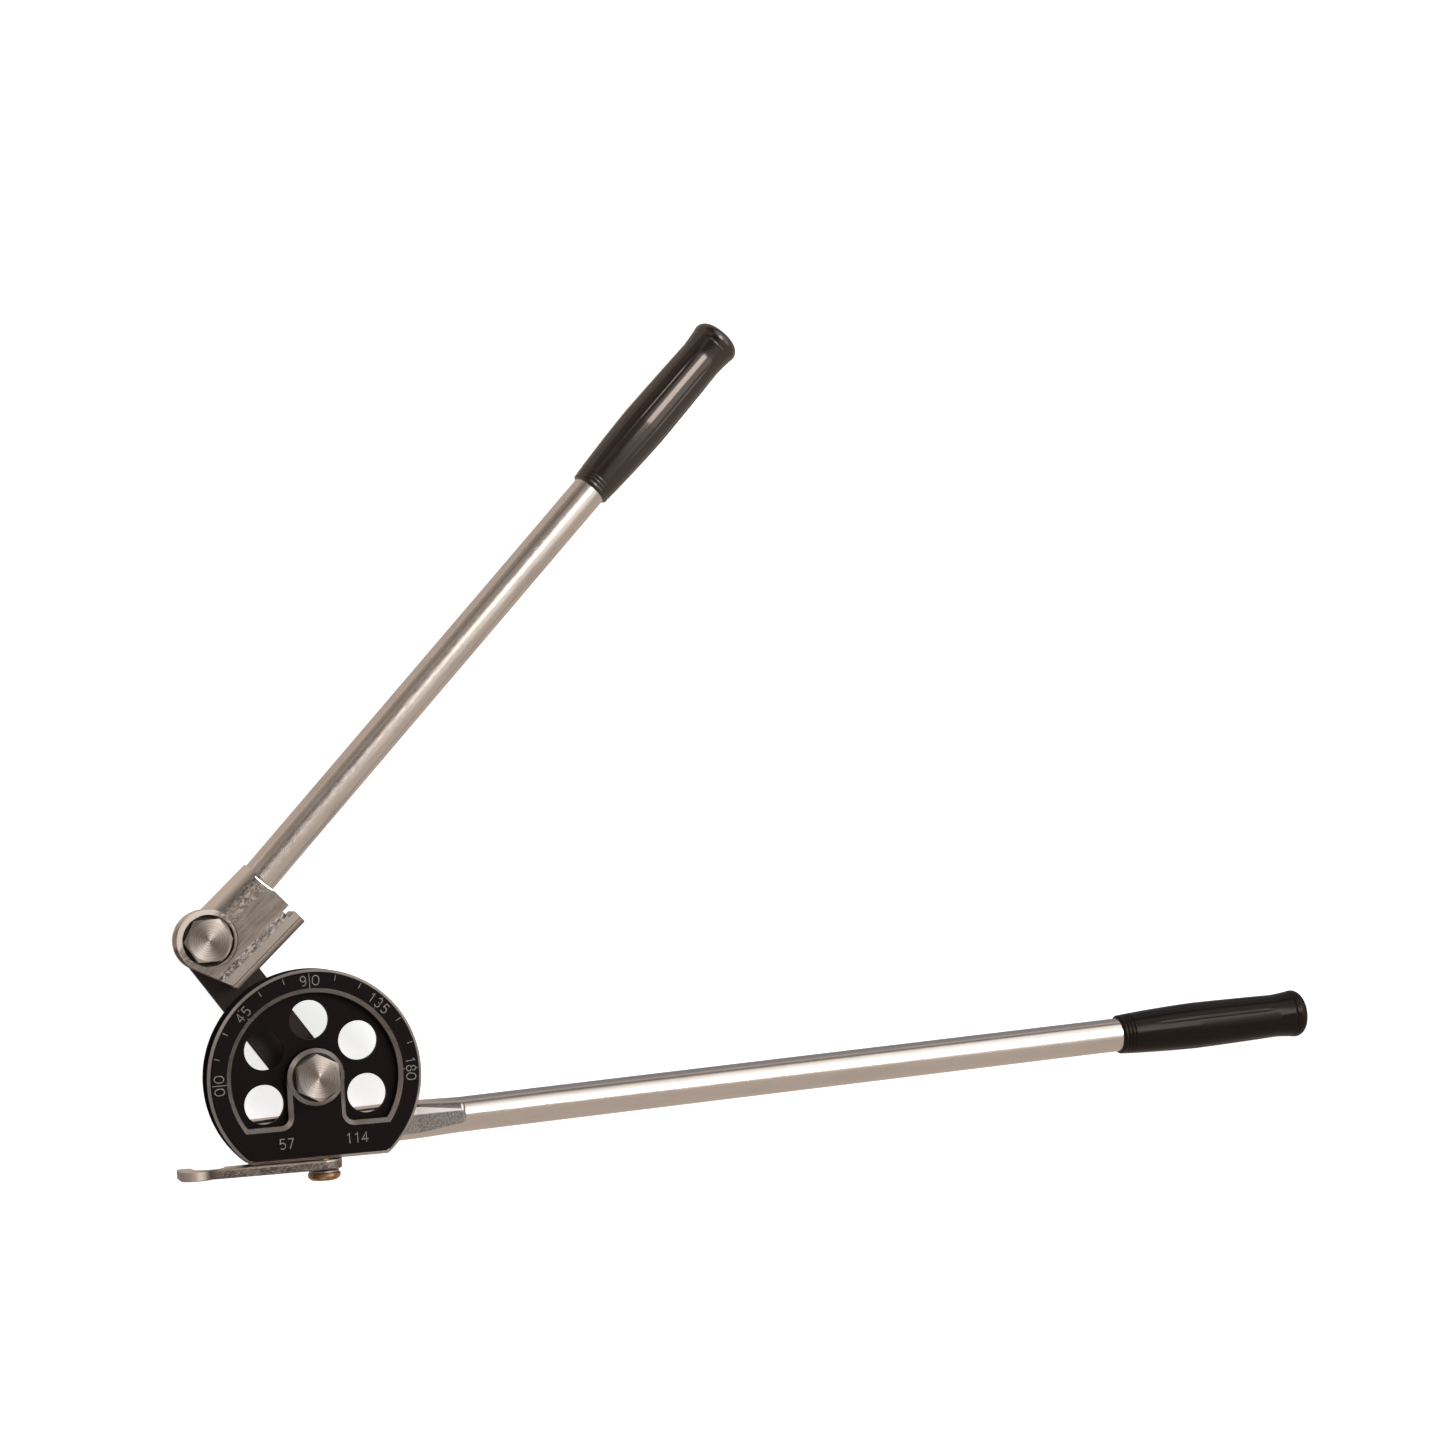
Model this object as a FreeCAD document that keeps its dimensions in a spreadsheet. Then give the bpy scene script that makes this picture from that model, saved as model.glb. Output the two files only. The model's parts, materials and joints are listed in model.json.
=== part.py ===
import FreeCAD, Part
import math
import os
import Sketcher

# Lever tube bender for 16 mm tube, lying flat with the wheel's marked face up.
# Frame: origin on the wheel's axis at the middle of its groove, +Z along that axis towards the marked
# face, +X along the fixed handle, +Y away from the latch. Millimetres and degrees.
# Bodies that move: link (about the wheel's axis), forming arm (about the link's outer bolt), latch.

V = FreeCAD.Vector
UP = V(0, 0, 1)

doc = FreeCAD.newDocument("tube_bender")
sheet = doc.addObject("Spreadsheet::Sheet", "Sizes")

SIZES = [
    # the tube that the tool bends
    ("work_tube_diameter", 16.0, "outside diameter of the tube that is bent"),
    ("groove_clearance", 0.1, "room between the tube and the half-round grooves"),
    ("bend_radius", 57.4, "wheel axis to the centre of the bent tube"),
    # forming wheel
    ("rim_radius", 57.0, "outer radius of the wheel"),
    ("wheel_thickness", 24.0, "wheel, front face to rear face"),
    ("flat_drop", 43.5, "wheel axis to the flat that carries the latch"),
    ("wheel_turn_angle", 1.8, "flat, pocket and latch, clockwise of the fixed handle, in degrees"),
    ("rim_bevel", 2.2, "polished bevel round the rim"),
    ("flat_bevel", 1.6, "polished bevel along the flat's front edge"),
    ("pocket_radius", 46.9, "upper edge of the front pocket"),
    ("pocket_depth", 7.0, "front face to the web"),
    ("pocket_bevel", 2.4, "polished bevel round the front pocket"),
    ("pocket_drop", 27.0, "wheel axis to the pocket's lower edge"),
    ("pocket_corner", 4.5, "rounding where the tongue meets the pocket's lower edge"),
    ("web_thickness", 3.5, "web between the front and rear pockets"),
    ("hub_radius", 15.2, "hub in the middle of the wheel"),
    ("hub_rise", 2.4, "hub's boss above the front face"),
    ("hub_bevel", 2.3, "bevel round the hub's boss"),
    ("light_hole_diameter", 21.0, "lightening holes in the web"),
    ("light_hole_pitch", 30.0, "wheel axis to the lightening holes"),
    ("light_hole_angle", 56.8, "angle from one lightening hole to the next"),
    # bolts, nuts and washers
    ("bolt_diameter", 14.0, "both pivot bolts"),
    ("bolt_flats", 22.0, "bolt heads and nuts across their flats"),
    ("head_height", 7.5, "bolt head"),
    ("nut_height", 7.0, "thin lock nut"),
    ("bolt_end", 0.9, "bolt beyond its nut"),
    ("running_clearance", 0.05, "radial room of everything that turns"),
    ("side_clearance", 0.1, "room between faces that slide over each other"),
    ("hexagon_rim", 0.4, "hexagon's flats to the round face of a bolt head or nut"),
    ("edge_bevel", 0.5, "broken edges of the link and the latch"),
    ("seal_washer_radius", 12.6, "thin dark washer under the centre bolt's head"),
    ("seal_washer_thickness", 0.8, "that washer"),
    ("thrust_washer_radius", 13.0, "thin washers each side of the link"),
    ("thrust_washer_thickness", 0.5, "those washers"),
    ("nut_washer_radius", 14.0, "washers under the nuts"),
    ("nut_washer_thickness", 1.5, "those washers"),
    # link
    ("link_angle", 122.8, "where the link lies at rest"),
    ("link_width", 29.0, "link plate"),
    ("link_thickness", 5.0, "link plate"),
    ("link_bush_wall", 2.0, "bush pressed into the link at the wheel's axis"),
    # handles
    ("handle_diameter", 19.0, "both handle tubes"),
    ("handle_wall", 2.0, "both handle tubes"),
    ("handle_drop", 30.0, "wheel axis to the fixed handle's axis"),
    ("handle_level", -2.0, "fixed handle's axis, up from the groove's middle"),
    ("tang_height", 13.0, "fixed handle where it is pressed flat"),
    ("tang_width", 20.3, "fixed handle where it is pressed flat"),
    ("tang_flat_reach", 7.0, "half the width of its flat top"),
    ("tang_level_end", 54.0, "wheel axis to where its flat top starts to rise"),
    ("tang_end", 77.5, "wheel axis to the end of its flat top"),
    ("tang_step", 2.0, "length of the step where the flat top ends"),
    ("tang_step_height", 0.8, "height of that step"),
    ("tang_seat_radius", 47.5, "how near the pressed end comes to the groove"),
    ("fixed_grip_start", 466.0, "wheel axis to the fixed handle's grip"),
    ("pin_diameter", 5.0, "spring pins that hold the fixed handle"),
    ("pin_reach", 6.5, "pins beyond the web"),
    ("pin_spacing", 40.0, "one pin to the other"),
    # grips
    ("grip_length", 119.5, "both grips"),
    ("grip_lip_round", 1.2, "rounding of the mouth's rim"),
    ("grip_mouth_radius", 11.3, "grip where the tube enters"),
    ("grip_swell_radius", 13.4, "grip at its swell"),
    ("grip_swell_place", 48.0, "mouth to the swell"),
    ("grip_waist_radius", 12.5, "grip at its waist"),
    ("grip_waist_place", 99.0, "mouth to the waist"),
    ("grip_flare_radius", 13.8, "grip near its closed end"),
    ("grip_end_wall", 6.0, "grip beyond the tube's end"),
    ("grip_end_round", 5.4, "rounding of the closed end's edge"),
    ("grip_end_crown", 2.2, "how far the closed end bulges"),
    ("grip_end_flat", 1.5, "radius of the flat in the middle of the closed end"),
    ("grip_press", 0.02, "radial room between tube and grip"),
    ("grip_ring_depth", 0.5, "fine rings round the grip"),
    ("grip_ring_step", 2.1, "mouth ring to mouth ring"),
    ("grip_end_ring", 109.0, "mouth to the ring near the closed end"),
    # forming arm
    ("shoe_contact", 28.3, "arm's pivot to the place where the closed shoe touches the tube"),
    ("shoe_room", 0.25, "room between the closed shoe and the tube"),
    ("arm_opening_angle", 25.5, "how far the arm stands open at rest, in degrees"),
    ("handle_splay_angle", 3.9, "arm's handle from the shoe's groove, in degrees"),
    ("arm_tang_height", 16.0, "arm's tube where it is pressed flat"),
    ("arm_tang_start", -12.0, "pressed end behind the arm's pivot"),
    ("arm_tang_end", 20.0, "end of the pressed length"),
    ("arm_tang_run", 6.0, "length over which it becomes round again"),
    ("arm_grip_start", 323.5, "arm's pivot to its grip"),
    ("sheet_thickness", 2.4, "bracket's steel sheet"),
    ("fold_offset", 1.5, "arm's pivot to the axis of the bracket's round fold"),
    ("lip_offset", 29.9, "arm's pivot to the plane of the shoe's lips"),
    ("lip_bend", 3.6, "rounding of the shoe's lips"),
    ("shoe_top", 42.7, "arm's pivot to the shoe's upper end"),
    ("shoe_bottom", 6.6, "arm's pivot to the shoe's lower end"),
    ("ear_radius", 16.4, "round end of the bracket"),
    ("fold_start", 5.0, "arm's pivot to the lower end of the fold"),
    ("head_hole_radius", 13.7, "hole that the arm bolt's head sits in"),
    ("notch_width", 4.5, "relief notch beside the shoe"),
    ("notch_depth", 4.6, "relief notch beside the shoe"),
    ("notch_offset", 17.4, "arm's pivot to the near side of the notch"),
    ("arm_bush_wall", 1.0, "bush in the arm's pivot"),
    # latch
    ("latch_gap", 0.4, "wheel's flat to the latch"),
    ("latch_thickness", 5.0, "latch plate"),
    ("latch_pivot", 2.2, "latch screw, along the wheel's flat"),
    ("latch_level", 6.75, "latch screw, up from the groove's middle"),
    ("latch_eye_radius", 9.8, "round eye of the latch"),
    ("hook_clearance", 0.2, "room round the tube in the hook"),
    ("hook_finger_width", 8.0, "finger beyond the tube"),
    ("hook_finger_length", 6.0, "straight side of the finger"),
    ("hook_lobe_radius", 8.8, "rounded corner of the hook"),
    ("hook_back", 4.3, "metal behind the tube"),
    ("latch_screw_diameter", 6.0, "thread of the latch screw"),
    ("latch_shoulder_diameter", 8.0, "shoulder that the latch turns on"),
    ("latch_screw_depth", 12.0, "thread in the wheel"),
    ("latch_thread_room", 0.5, "hole beyond the thread"),
    ("latch_screw_point", 0.6, "bevel on the thread's end"),
    ("latch_head_diameter", 17.4, "domed head of the latch screw"),
    ("latch_head_height", 4.2, "domed head of the latch screw"),
    ("latch_washer_diameter", 16.0, "spring washer under that head"),
    ("latch_washer_height", 1.6, "spring washer under that head"),
]

for row, (alias, value, note) in enumerate(SIZES, 1):
    sheet.set("A%d" % row, note)
    sheet.set("B%d" % row, str(value))
    sheet.setAlias("B%d" % row, alias)
doc.recompute()


def size(alias):
    """Value of one cell of the sheet."""
    return float(getattr(sheet, alias))


def ref(expression):
    """Puts the sheet's name before each alias of an expression."""
    words = sorted((a for a, _, _ in SIZES), key=len, reverse=True)
    out = expression
    for number, word in enumerate(words):
        out = out.replace(word, "@%d@" % number)
    for number, word in enumerate(words):
        out = out.replace("@%d@" % number, "Sizes." + word)
    return out


# Places worked out from the driving sizes.
GROOVE = size("work_tube_diameter") / 2 + size("groove_clearance")
FRONT = size("wheel_thickness") / 2
FLOOR = FRONT - size("pocket_depth")
WEB_REAR = FLOOR - size("web_thickness")
HUB_TOP = FRONT + size("hub_rise")
HEAD_SEAT = HUB_TOP + size("seal_washer_thickness")
LINK_TOP = -FRONT - size("thrust_washer_thickness") - size("side_clearance")
LINK_REAR = LINK_TOP - size("link_thickness")
NUT_SEAT = LINK_REAR - size("side_clearance") - size("nut_washer_thickness")
TUBE_R = size("handle_diameter") / 2
PIVOT_TO_TUBE = size("lip_offset") + size("shoe_room") + size("bend_radius")
LINK_LENGTH = math.hypot(PIVOT_TO_TUBE, size("shoe_contact"))
PIVOT = V(LINK_LENGTH * math.cos(math.radians(size("link_angle"))),
          LINK_LENGTH * math.sin(math.radians(size("link_angle"))), 0)
CLOSED_ANGLE = size("link_angle") - 180 + math.degrees(math.asin(PIVOT_TO_TUBE / LINK_LENGTH))
LIP_ANGLE = CLOSED_ANGLE + size("arm_opening_angle")
ARM_ANGLE = LIP_ANGLE + size("handle_splay_angle")
ARM_TANG_TOP = size("arm_tang_height") - TUBE_R
ARM_HEAD_SEAT = ARM_TANG_TOP + size("side_clearance") + size("nut_washer_thickness")
LATCH_TOP = -size("flat_drop") - size("latch_gap")
LATCH_BOTTOM = LATCH_TOP - size("latch_thickness")
PIN_PLACES = (-size("pin_spacing") / 2, size("pin_spacing") / 2)

WHEEL_TURN = FreeCAD.Placement(V(0, 0, 0), FreeCAD.Rotation(UP, -size("wheel_turn_angle")))

nodes = []


def turned(angle, base=V(0, 0, 0)):
    """Placement at base, turned about Z."""
    return FreeCAD.Placement(base, FreeCAD.Rotation(UP, angle))


def new_body(name, placement=None):
    body = doc.addObject("PartDesign::Body", name)
    body.Label = name
    if placement is not None:
        body.Placement = placement
    nodes.append(body)
    return body


def new_sketch(body, name, role, offset="0"):
    """Sketch on one of the body's origin planes, moved along its normal."""
    plane = next(f for f in body.Origin.OriginFeatures if f.Role == role)
    sketch = body.newObject("Sketcher::SketchObject", name)
    sketch.AttachmentSupport = [(plane, "")]
    sketch.MapMode = "FlatFace"
    sketch.setExpression("AttachmentOffset.Base.z", ref(offset))
    return sketch


def add_circle(sketch, radius, x=0.0, y=0.0):
    """Circle whose radius is an expression of the sheet."""
    start = sketch.GeometryCount
    circle = sketch.addGeometry(Part.Circle(V(x, y, 0), UP, 1.0), False)
    if x == 0 and y == 0:
        sketch.addConstraint(Sketcher.Constraint("Coincident", circle, 3, -1, 1))
    else:
        sketch.addConstraint(Sketcher.Constraint("DistanceX", -1, 1, circle, 3, x))
        sketch.addConstraint(Sketcher.Constraint("DistanceY", -1, 1, circle, 3, y))
    index = sketch.addConstraint(Sketcher.Constraint("Radius", circle, 1.0))
    label = "radius_%d" % start
    sketch.renameConstraint(index, label)
    sketch.setExpression("Constraints." + label, ref(radius))
    return circle


def add_outline(sketch, pieces):
    """Closed outline. Each piece is (a, b) for a line or (a, through, b) for an arc."""
    for piece in pieces:
        points = [V(x, y, 0) for x, y in piece]
        if len(points) == 2:
            sketch.addGeometry(Part.LineSegment(*points), False)
        else:
            sketch.addGeometry(Part.Arc(*points), False)


def on_circle(radius, angle, x=0.0, y=0.0):
    """Point of a circle, as a pair."""
    turn = math.radians(angle)
    return x + radius * math.cos(turn), y + radius * math.sin(turn)


def feature(body, kind, name, profile, **settings):
    """PartDesign feature; Length is an expression of the sheet."""
    made = body.newObject("PartDesign::" + kind, name)
    made.Profile = profile
    for key, value in settings.items():
        if key == "Length":
            made.setExpression(key, ref(value))
        else:
            setattr(made, key, value)
    return made


def cut(body, kind, name, profile, **settings):
    """Pocket or Groove that has to take metal away."""
    doc.recompute()
    before = body.Shape.Volume
    made = feature(body, kind, name, profile, **settings)
    doc.recompute()
    if not body.Shape.Volume < before - 0.01:
        raise ValueError(name + " cuts nothing")
    return made


def edges_where(body, test):
    """Names of the body's edges whose ends and middle all pass the test, in the body's own frame."""
    doc.recompute()
    shape = body.Tip.Shape
    found = []
    for number, edge in enumerate(shape.Edges, 1):
        points = [vertex.Point for vertex in edge.Vertexes]
        points.append(edge.valueAt((edge.FirstParameter + edge.LastParameter) / 2))
        if all(test(point) for point in points):
            found.append("Edge%d" % number)
    if not found:
        raise ValueError("no such edge on " + body.Label)
    return found


def dress(body, kind, name, amount, test):
    """Fillet or Chamfer on the edges that pass the test."""
    names = edges_where(body, test)
    base = body.Tip
    made = body.newObject("PartDesign::" + kind, name)
    made.Base = (base, names)
    made.setExpression("Radius" if kind == "Fillet" else "Size", ref(amount))
    doc.recompute()
    return made


def near(a, b):
    return abs(a - b) < 1e-4


# ---------------------------------------------------------------- forming wheel

def forming_wheel():
    body = new_body("forming_wheel", WHEEL_TURN)
    rim = size("rim_radius")
    flat = size("flat_drop")
    corner = math.degrees(math.asin(flat / rim))

    disc = new_sketch(body, "wheel_outline", "XY_Plane", "-wheel_thickness / 2")
    arc = disc.addGeometry(Part.ArcOfCircle(Part.Circle(V(0, 0, 0), UP, rim),
                                            math.radians(-corner), math.radians(180 + corner)), False)
    ends = [V(*on_circle(rim, 180 + corner), 0), V(*on_circle(rim, -corner), 0)]
    chord = disc.addGeometry(Part.LineSegment(*ends), False)
    for constraint in (("Coincident", arc, 3, -1, 1), ("Coincident", arc, 2, chord, 1),
                       ("Coincident", chord, 2, arc, 1), ("Horizontal", chord)):
        disc.addConstraint(Sketcher.Constraint(*constraint))
    disc.renameConstraint(disc.addConstraint(Sketcher.Constraint("Radius", arc, rim)), "rim")
    disc.setExpression("Constraints.rim", ref("rim_radius"))
    drop = disc.addConstraint(Sketcher.Constraint("DistanceY", chord, 1, -1, 1, flat))
    disc.renameConstraint(drop, "flat")
    disc.setExpression("Constraints.flat", ref("flat_drop"))
    feature(body, "Pad", "wheel_disc", disc, Length="wheel_thickness")

    dress(body, "Chamfer", "flat_bevels", "flat_bevel",
          lambda p: near(p.z, FRONT) and near(p.y, -flat))
    dress(body, "Chamfer", "rim_bevels", "rim_bevel",
          lambda p: near(abs(p.z), FRONT) and near(math.hypot(p.x, p.y), rim))

    groove = new_sketch(body, "groove_section", "XZ_Plane")
    ring = groove.addGeometry(Part.Circle(V(size("bend_radius"), 0, 0), UP, GROOVE), False)
    groove.addConstraint(Sketcher.Constraint("PointOnObject", ring, 3, -1))
    groove.renameConstraint(groove.addConstraint(
        Sketcher.Constraint("DistanceX", -1, 1, ring, 3, size("bend_radius"))), "bend")
    groove.setExpression("Constraints.bend", ref("bend_radius"))
    groove.renameConstraint(groove.addConstraint(Sketcher.Constraint("Radius", ring, GROOVE)), "tube")
    groove.setExpression("Constraints.tube", ref("work_tube_diameter / 2 + groove_clearance"))
    cut(body, "Groove", "tube_groove", groove, Angle=360.0, ReferenceAxis=(groove, ["V_Axis"]))

    # front pocket: an arch round the hub, open towards the flat on both sides of the tongue
    outer = size("pocket_radius") - size("pocket_bevel")
    floor_drop = size("pocket_drop") - size("pocket_bevel")
    hub = size("hub_radius")
    side = math.degrees(math.asin(floor_drop / outer))
    low_right, low_left = on_circle(outer, -side), on_circle(outer, 180 + side)
    pocket = new_sketch(body, "pocket_outline", "XY_Plane", "wheel_thickness / 2")
    add_outline(pocket, [
        (low_right, (0, outer), low_left),
        (low_left, (-hub, -floor_drop)),
        ((-hub, -floor_drop), (-hub, 0)),
        ((-hub, 0), (0, hub), (hub, 0)),
        ((hub, 0), (hub, -floor_drop)),
        ((hub, -floor_drop), low_right)])
    cut(body, "Pocket", "front_pocket", pocket, Length="pocket_depth")
    dress(body, "Fillet", "tongue_corners", "pocket_corner",
          lambda p: near(abs(p.x), hub) and near(p.y, -floor_drop) and p.z > FLOOR - 0.1)
    dress(body, "Chamfer", "pocket_bevels", "pocket_bevel",
          lambda p: near(p.z, FRONT) and p.y > -floor_drop - 0.1
          and math.hypot(p.x, p.y) < size("pocket_radius"))

    # rear pocket, and the seat of the fixed handle's pressed end, open through the rim;
    # both lie along the handle
    def along_handle(x, y):
        turn = math.radians(size("wheel_turn_angle"))
        return x * math.cos(turn) - y * math.sin(turn), x * math.sin(turn) + y * math.cos(turn)

    seat_top = -size("handle_drop") + size("tang_width") / 2 + size("side_clearance")
    seat_low = -size("handle_drop") - size("tang_width") / 2 - size("side_clearance")
    side = math.degrees(math.asin(-seat_top / outer))
    low_right, low_left = on_circle(outer, -side), on_circle(outer, 180 + side)
    rear = new_sketch(body, "rear_pocket_outline", "XY_Plane", "-wheel_thickness / 2")
    low_right, low_left = along_handle(*low_right), along_handle(*low_left)
    add_outline(rear, [(low_right, (0, outer), low_left), (low_left, low_right)])
    add_circle(rear, "hub_radius")
    cut(body, "Pocket", "rear_pocket", rear, Reversed=True,
        Length="wheel_thickness - pocket_depth - web_thickness")

    end = size("tang_seat_radius") + size("side_clearance")
    high = (-math.sqrt(end ** 2 - seat_top ** 2), seat_top)
    low = (-math.sqrt(end ** 2 - seat_low ** 2), seat_low)
    middle = on_circle(end, (math.degrees(math.atan2(high[1], high[0]))
                             + math.degrees(math.atan2(low[1], low[0]))) / 2)
    out = rim + size("rim_bevel")
    high, middle, low = along_handle(*high), along_handle(*middle), along_handle(*low)
    out_high, out_low = along_handle(out, seat_top), along_handle(out, seat_low)
    seat = new_sketch(body, "handle_seat_outline", "XY_Plane", "-wheel_thickness / 2")
    add_outline(seat, [(out_high, high), (high, middle, low), (low, out_low), (out_low, out_high)])
    cut(body, "Pocket", "handle_seat", seat, Reversed=True,
        Length="wheel_thickness - pocket_depth - web_thickness")

    boss = new_sketch(body, "boss_outline", "XY_Plane", "wheel_thickness / 2 - pocket_depth")
    add_circle(boss, "hub_radius")
    feature(body, "Pad", "hub_boss", boss, Length="pocket_depth + hub_rise")
    dress(body, "Chamfer", "boss_bevel", "hub_bevel", lambda p: near(p.z, HUB_TOP))

    holes = new_sketch(body, "light_hole_outlines", "XY_Plane", "wheel_thickness / 2")
    for step in (-2, -1, 0, 1, 2):
        angle = 90 + size("wheel_turn_angle") + step * size("light_hole_angle")
        place = on_circle(size("light_hole_pitch"), angle)
        add_circle(holes, "light_hole_diameter / 2", *place)
    cut(body, "Pocket", "light_holes", holes, Length="pocket_depth + web_thickness")

    bore = new_sketch(body, "bore_outline", "XY_Plane", "-wheel_thickness / 2")
    add_circle(bore, "bolt_diameter / 2 + running_clearance")
    cut(body, "Pocket", "hub_bore", bore, Reversed=True, Length="wheel_thickness + hub_rise")

    thread = new_sketch(body, "latch_thread_outline", "XZ_Plane", "flat_drop")
    add_circle(thread, "latch_screw_diameter / 2", size("latch_pivot"), size("latch_level"))
    cut(body, "Pocket", "latch_thread", thread, Length="latch_screw_depth + latch_thread_room")

    pins = new_sketch(body, "pin_hole_outlines", "XY_Plane",
                      "wheel_thickness / 2 - pocket_depth - web_thickness")
    for x in PIN_PLACES:
        add_circle(pins, "pin_diameter / 2", *along_handle(x, -size("handle_drop")))
    cut(body, "Pocket", "pin_holes", pins, Reversed=True, Length="pin_reach + side_clearance")


# ---------------------------------------------------------------- handles

DIAGONAL = math.sqrt(0.5)


def pressed_outline(sketch, half_width, reach, top, level, low=None):
    """Pressed tube: flat on top, widest at level, with the underside flat at low or still round."""
    slant = reach + (half_width - reach) * DIAGONAL
    upper = level + (top - level) * DIAGONAL
    add_outline(sketch, [((-half_width, level), (-slant, upper), (-reach, top)),
                         ((-reach, top), (reach, top)),
                         ((reach, top), (slant, upper), (half_width, level))])
    if low is None:
        lower_arcs(sketch, half_width, level)
    else:
        lower = level + (low - level) * DIAGONAL
        add_outline(sketch, [((half_width, level), (slant, lower), (reach, low)),
                             ((reach, low), (-reach, low)),
                             ((-reach, low), (-slant, lower), (-half_width, level))])


def lower_arcs(sketch, radius, level=0.0):
    places = [(x, y + level) for x, y in (on_circle(radius, -22.5 * step) for step in range(9))]
    add_outline(sketch, [(places[0], places[1], places[2]), (places[2], places[4], places[6]),
                         (places[6], places[7], places[8])])


def faceted_outline(sketch, radius, height):
    """Round tube with a narrow flat on top."""
    edge = math.degrees(math.asin(height / radius))
    left, right = on_circle(radius, 180 - edge), on_circle(radius, edge)
    add_outline(sketch, [((-radius, 0), on_circle(radius, 180 - edge / 2), left), (left, right),
                         (right, on_circle(radius, edge / 2), (radius, 0))])
    lower_arcs(sketch, radius)


def round_outline(sketch, radius):
    """Circle in six arcs that answer to the pressed outline's six sides."""
    places = [on_circle(radius, 180 - 22.5 * step) for step in range(9)]
    add_outline(sketch, [(places[0], places[1], places[2]), (places[2], places[4], places[6]),
                         (places[6], places[7], places[8])])
    lower_arcs(sketch, radius)


def pressed_tube(body, stations, tube_end):
    """Hollow tube along +X through its stations, each a place and its outline for a given wall inset.

    The first station's outline holds up to the second; the last one holds up to the tube's end.
    """
    places = [x for x, _ in stations]
    head, rest = repr(places[1] - places[0]), repr(tube_end - places[-1])
    layers = {}
    for layer, inset in (("outer", 0.0), ("inner", size("handle_wall"))):
        layers[layer] = []
        for number, (x, outline) in enumerate(stations):
            sketch = new_sketch(body, "%s_%d" % (layer, number), "YZ_Plane", repr(x))
            outline(sketch, inset)
            layers[layer].append(sketch)
    outer, inner = layers["outer"], layers["inner"]
    feature(body, "Pad", "tang", outer[0], Length=head)
    for number in range(1, len(outer) - 1):
        feature(body, "AdditiveLoft", "press_%d" % number, outer[number], Sections=[outer[number + 1]])
    feature(body, "Pad", "tube", outer[-1], Length=rest)
    cut(body, "Pocket", "tang_bore", inner[0], Reversed=True, Length=head)
    for number in range(1, len(inner) - 1):
        cut(body, "SubtractiveLoft", "press_bore_%d" % number, inner[number], Sections=[inner[number + 1]])
    cut(body, "Pocket", "tube_bore", inner[-1], Reversed=True, Length=rest)


def fixed_handle_tube():
    base = V(0, -size("handle_drop"), size("handle_level"))
    body = new_body("fixed_handle_tube", FreeCAD.Placement(base, FreeCAD.Rotation()))
    half = size("tang_width") / 2
    drop = size("handle_drop")
    reach = size("tang_seat_radius")
    high_x = -math.sqrt(reach ** 2 - (drop - half) ** 2)
    low_x = -math.sqrt(reach ** 2 - (drop + half) ** 2)
    tube_end = size("fixed_grip_start") + size("grip_length") - size("grip_end_wall")
    top = size("tang_height") - TUBE_R
    middle = top - size("tang_height") / 2
    flat = size("tang_flat_reach")
    rise_start, rise_end = size("tang_level_end"), size("tang_end")
    facet = TUBE_R - size("tang_step_height")

    def tang(sketch, inset):
        pressed_outline(sketch, half - inset, flat - inset, top - inset, middle, inset - TUBE_R)

    def facet_end(sketch, inset):
        faceted_outline(sketch, TUBE_R - inset, facet - inset)

    def whole(sketch, inset):
        round_outline(sketch, TUBE_R - inset)

    pressed_tube(body, [(high_x, tang), (rise_start, tang), (rise_end, facet_end),
                        (rise_end + size("tang_step"), whole)], tube_end)
    slope = new_sketch(body, "slanted_end", "XY_Plane", "-handle_diameter / 2")
    past = high_x - half
    add_outline(slope, [((high_x, half), (low_x, -half)), ((low_x, -half), (low_x, -half - 1)),
                        ((low_x, -half - 1), (past, -half - 1)), ((past, -half - 1), (past, half)),
                        ((past, half), (high_x, half))])
    cut(body, "Pocket", "end_cut", slope, Reversed=True, Length="handle_diameter")
    pins = new_sketch(body, "pin_outlines", "XY_Plane", "-handle_diameter / 2")
    for x in PIN_PLACES:
        add_circle(pins, "pin_diameter / 2", x, 0.0001)
    cut(body, "Pocket", "pin_bores", pins, Reversed=True, Length="handle_diameter")


def arm_handle_tube():
    body = new_body("arm_handle_tube", turned(ARM_ANGLE, PIVOT))
    tube_end = size("arm_grip_start") + size("grip_length") - size("grip_end_wall")

    def tang(sketch, inset):
        pressed_outline(sketch, TUBE_R - inset, TUBE_R - ARM_TANG_TOP, ARM_TANG_TOP - inset, 0.0)

    def whole(sketch, inset):
        round_outline(sketch, TUBE_R - inset)

    tang_end = size("arm_tang_end")
    pressed_tube(body, [(size("arm_tang_start"), tang), (tang_end, tang),
                        (tang_end + size("arm_tang_run"), whole)], tube_end)
    bore = new_sketch(body, "bush_outline", "XY_Plane", "-handle_diameter / 2")
    add_circle(bore, "bolt_diameter / 2 + running_clearance + arm_bush_wall")
    cut(body, "Pocket", "bush_bore", bore, Reversed=True, Length="handle_diameter")


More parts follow.
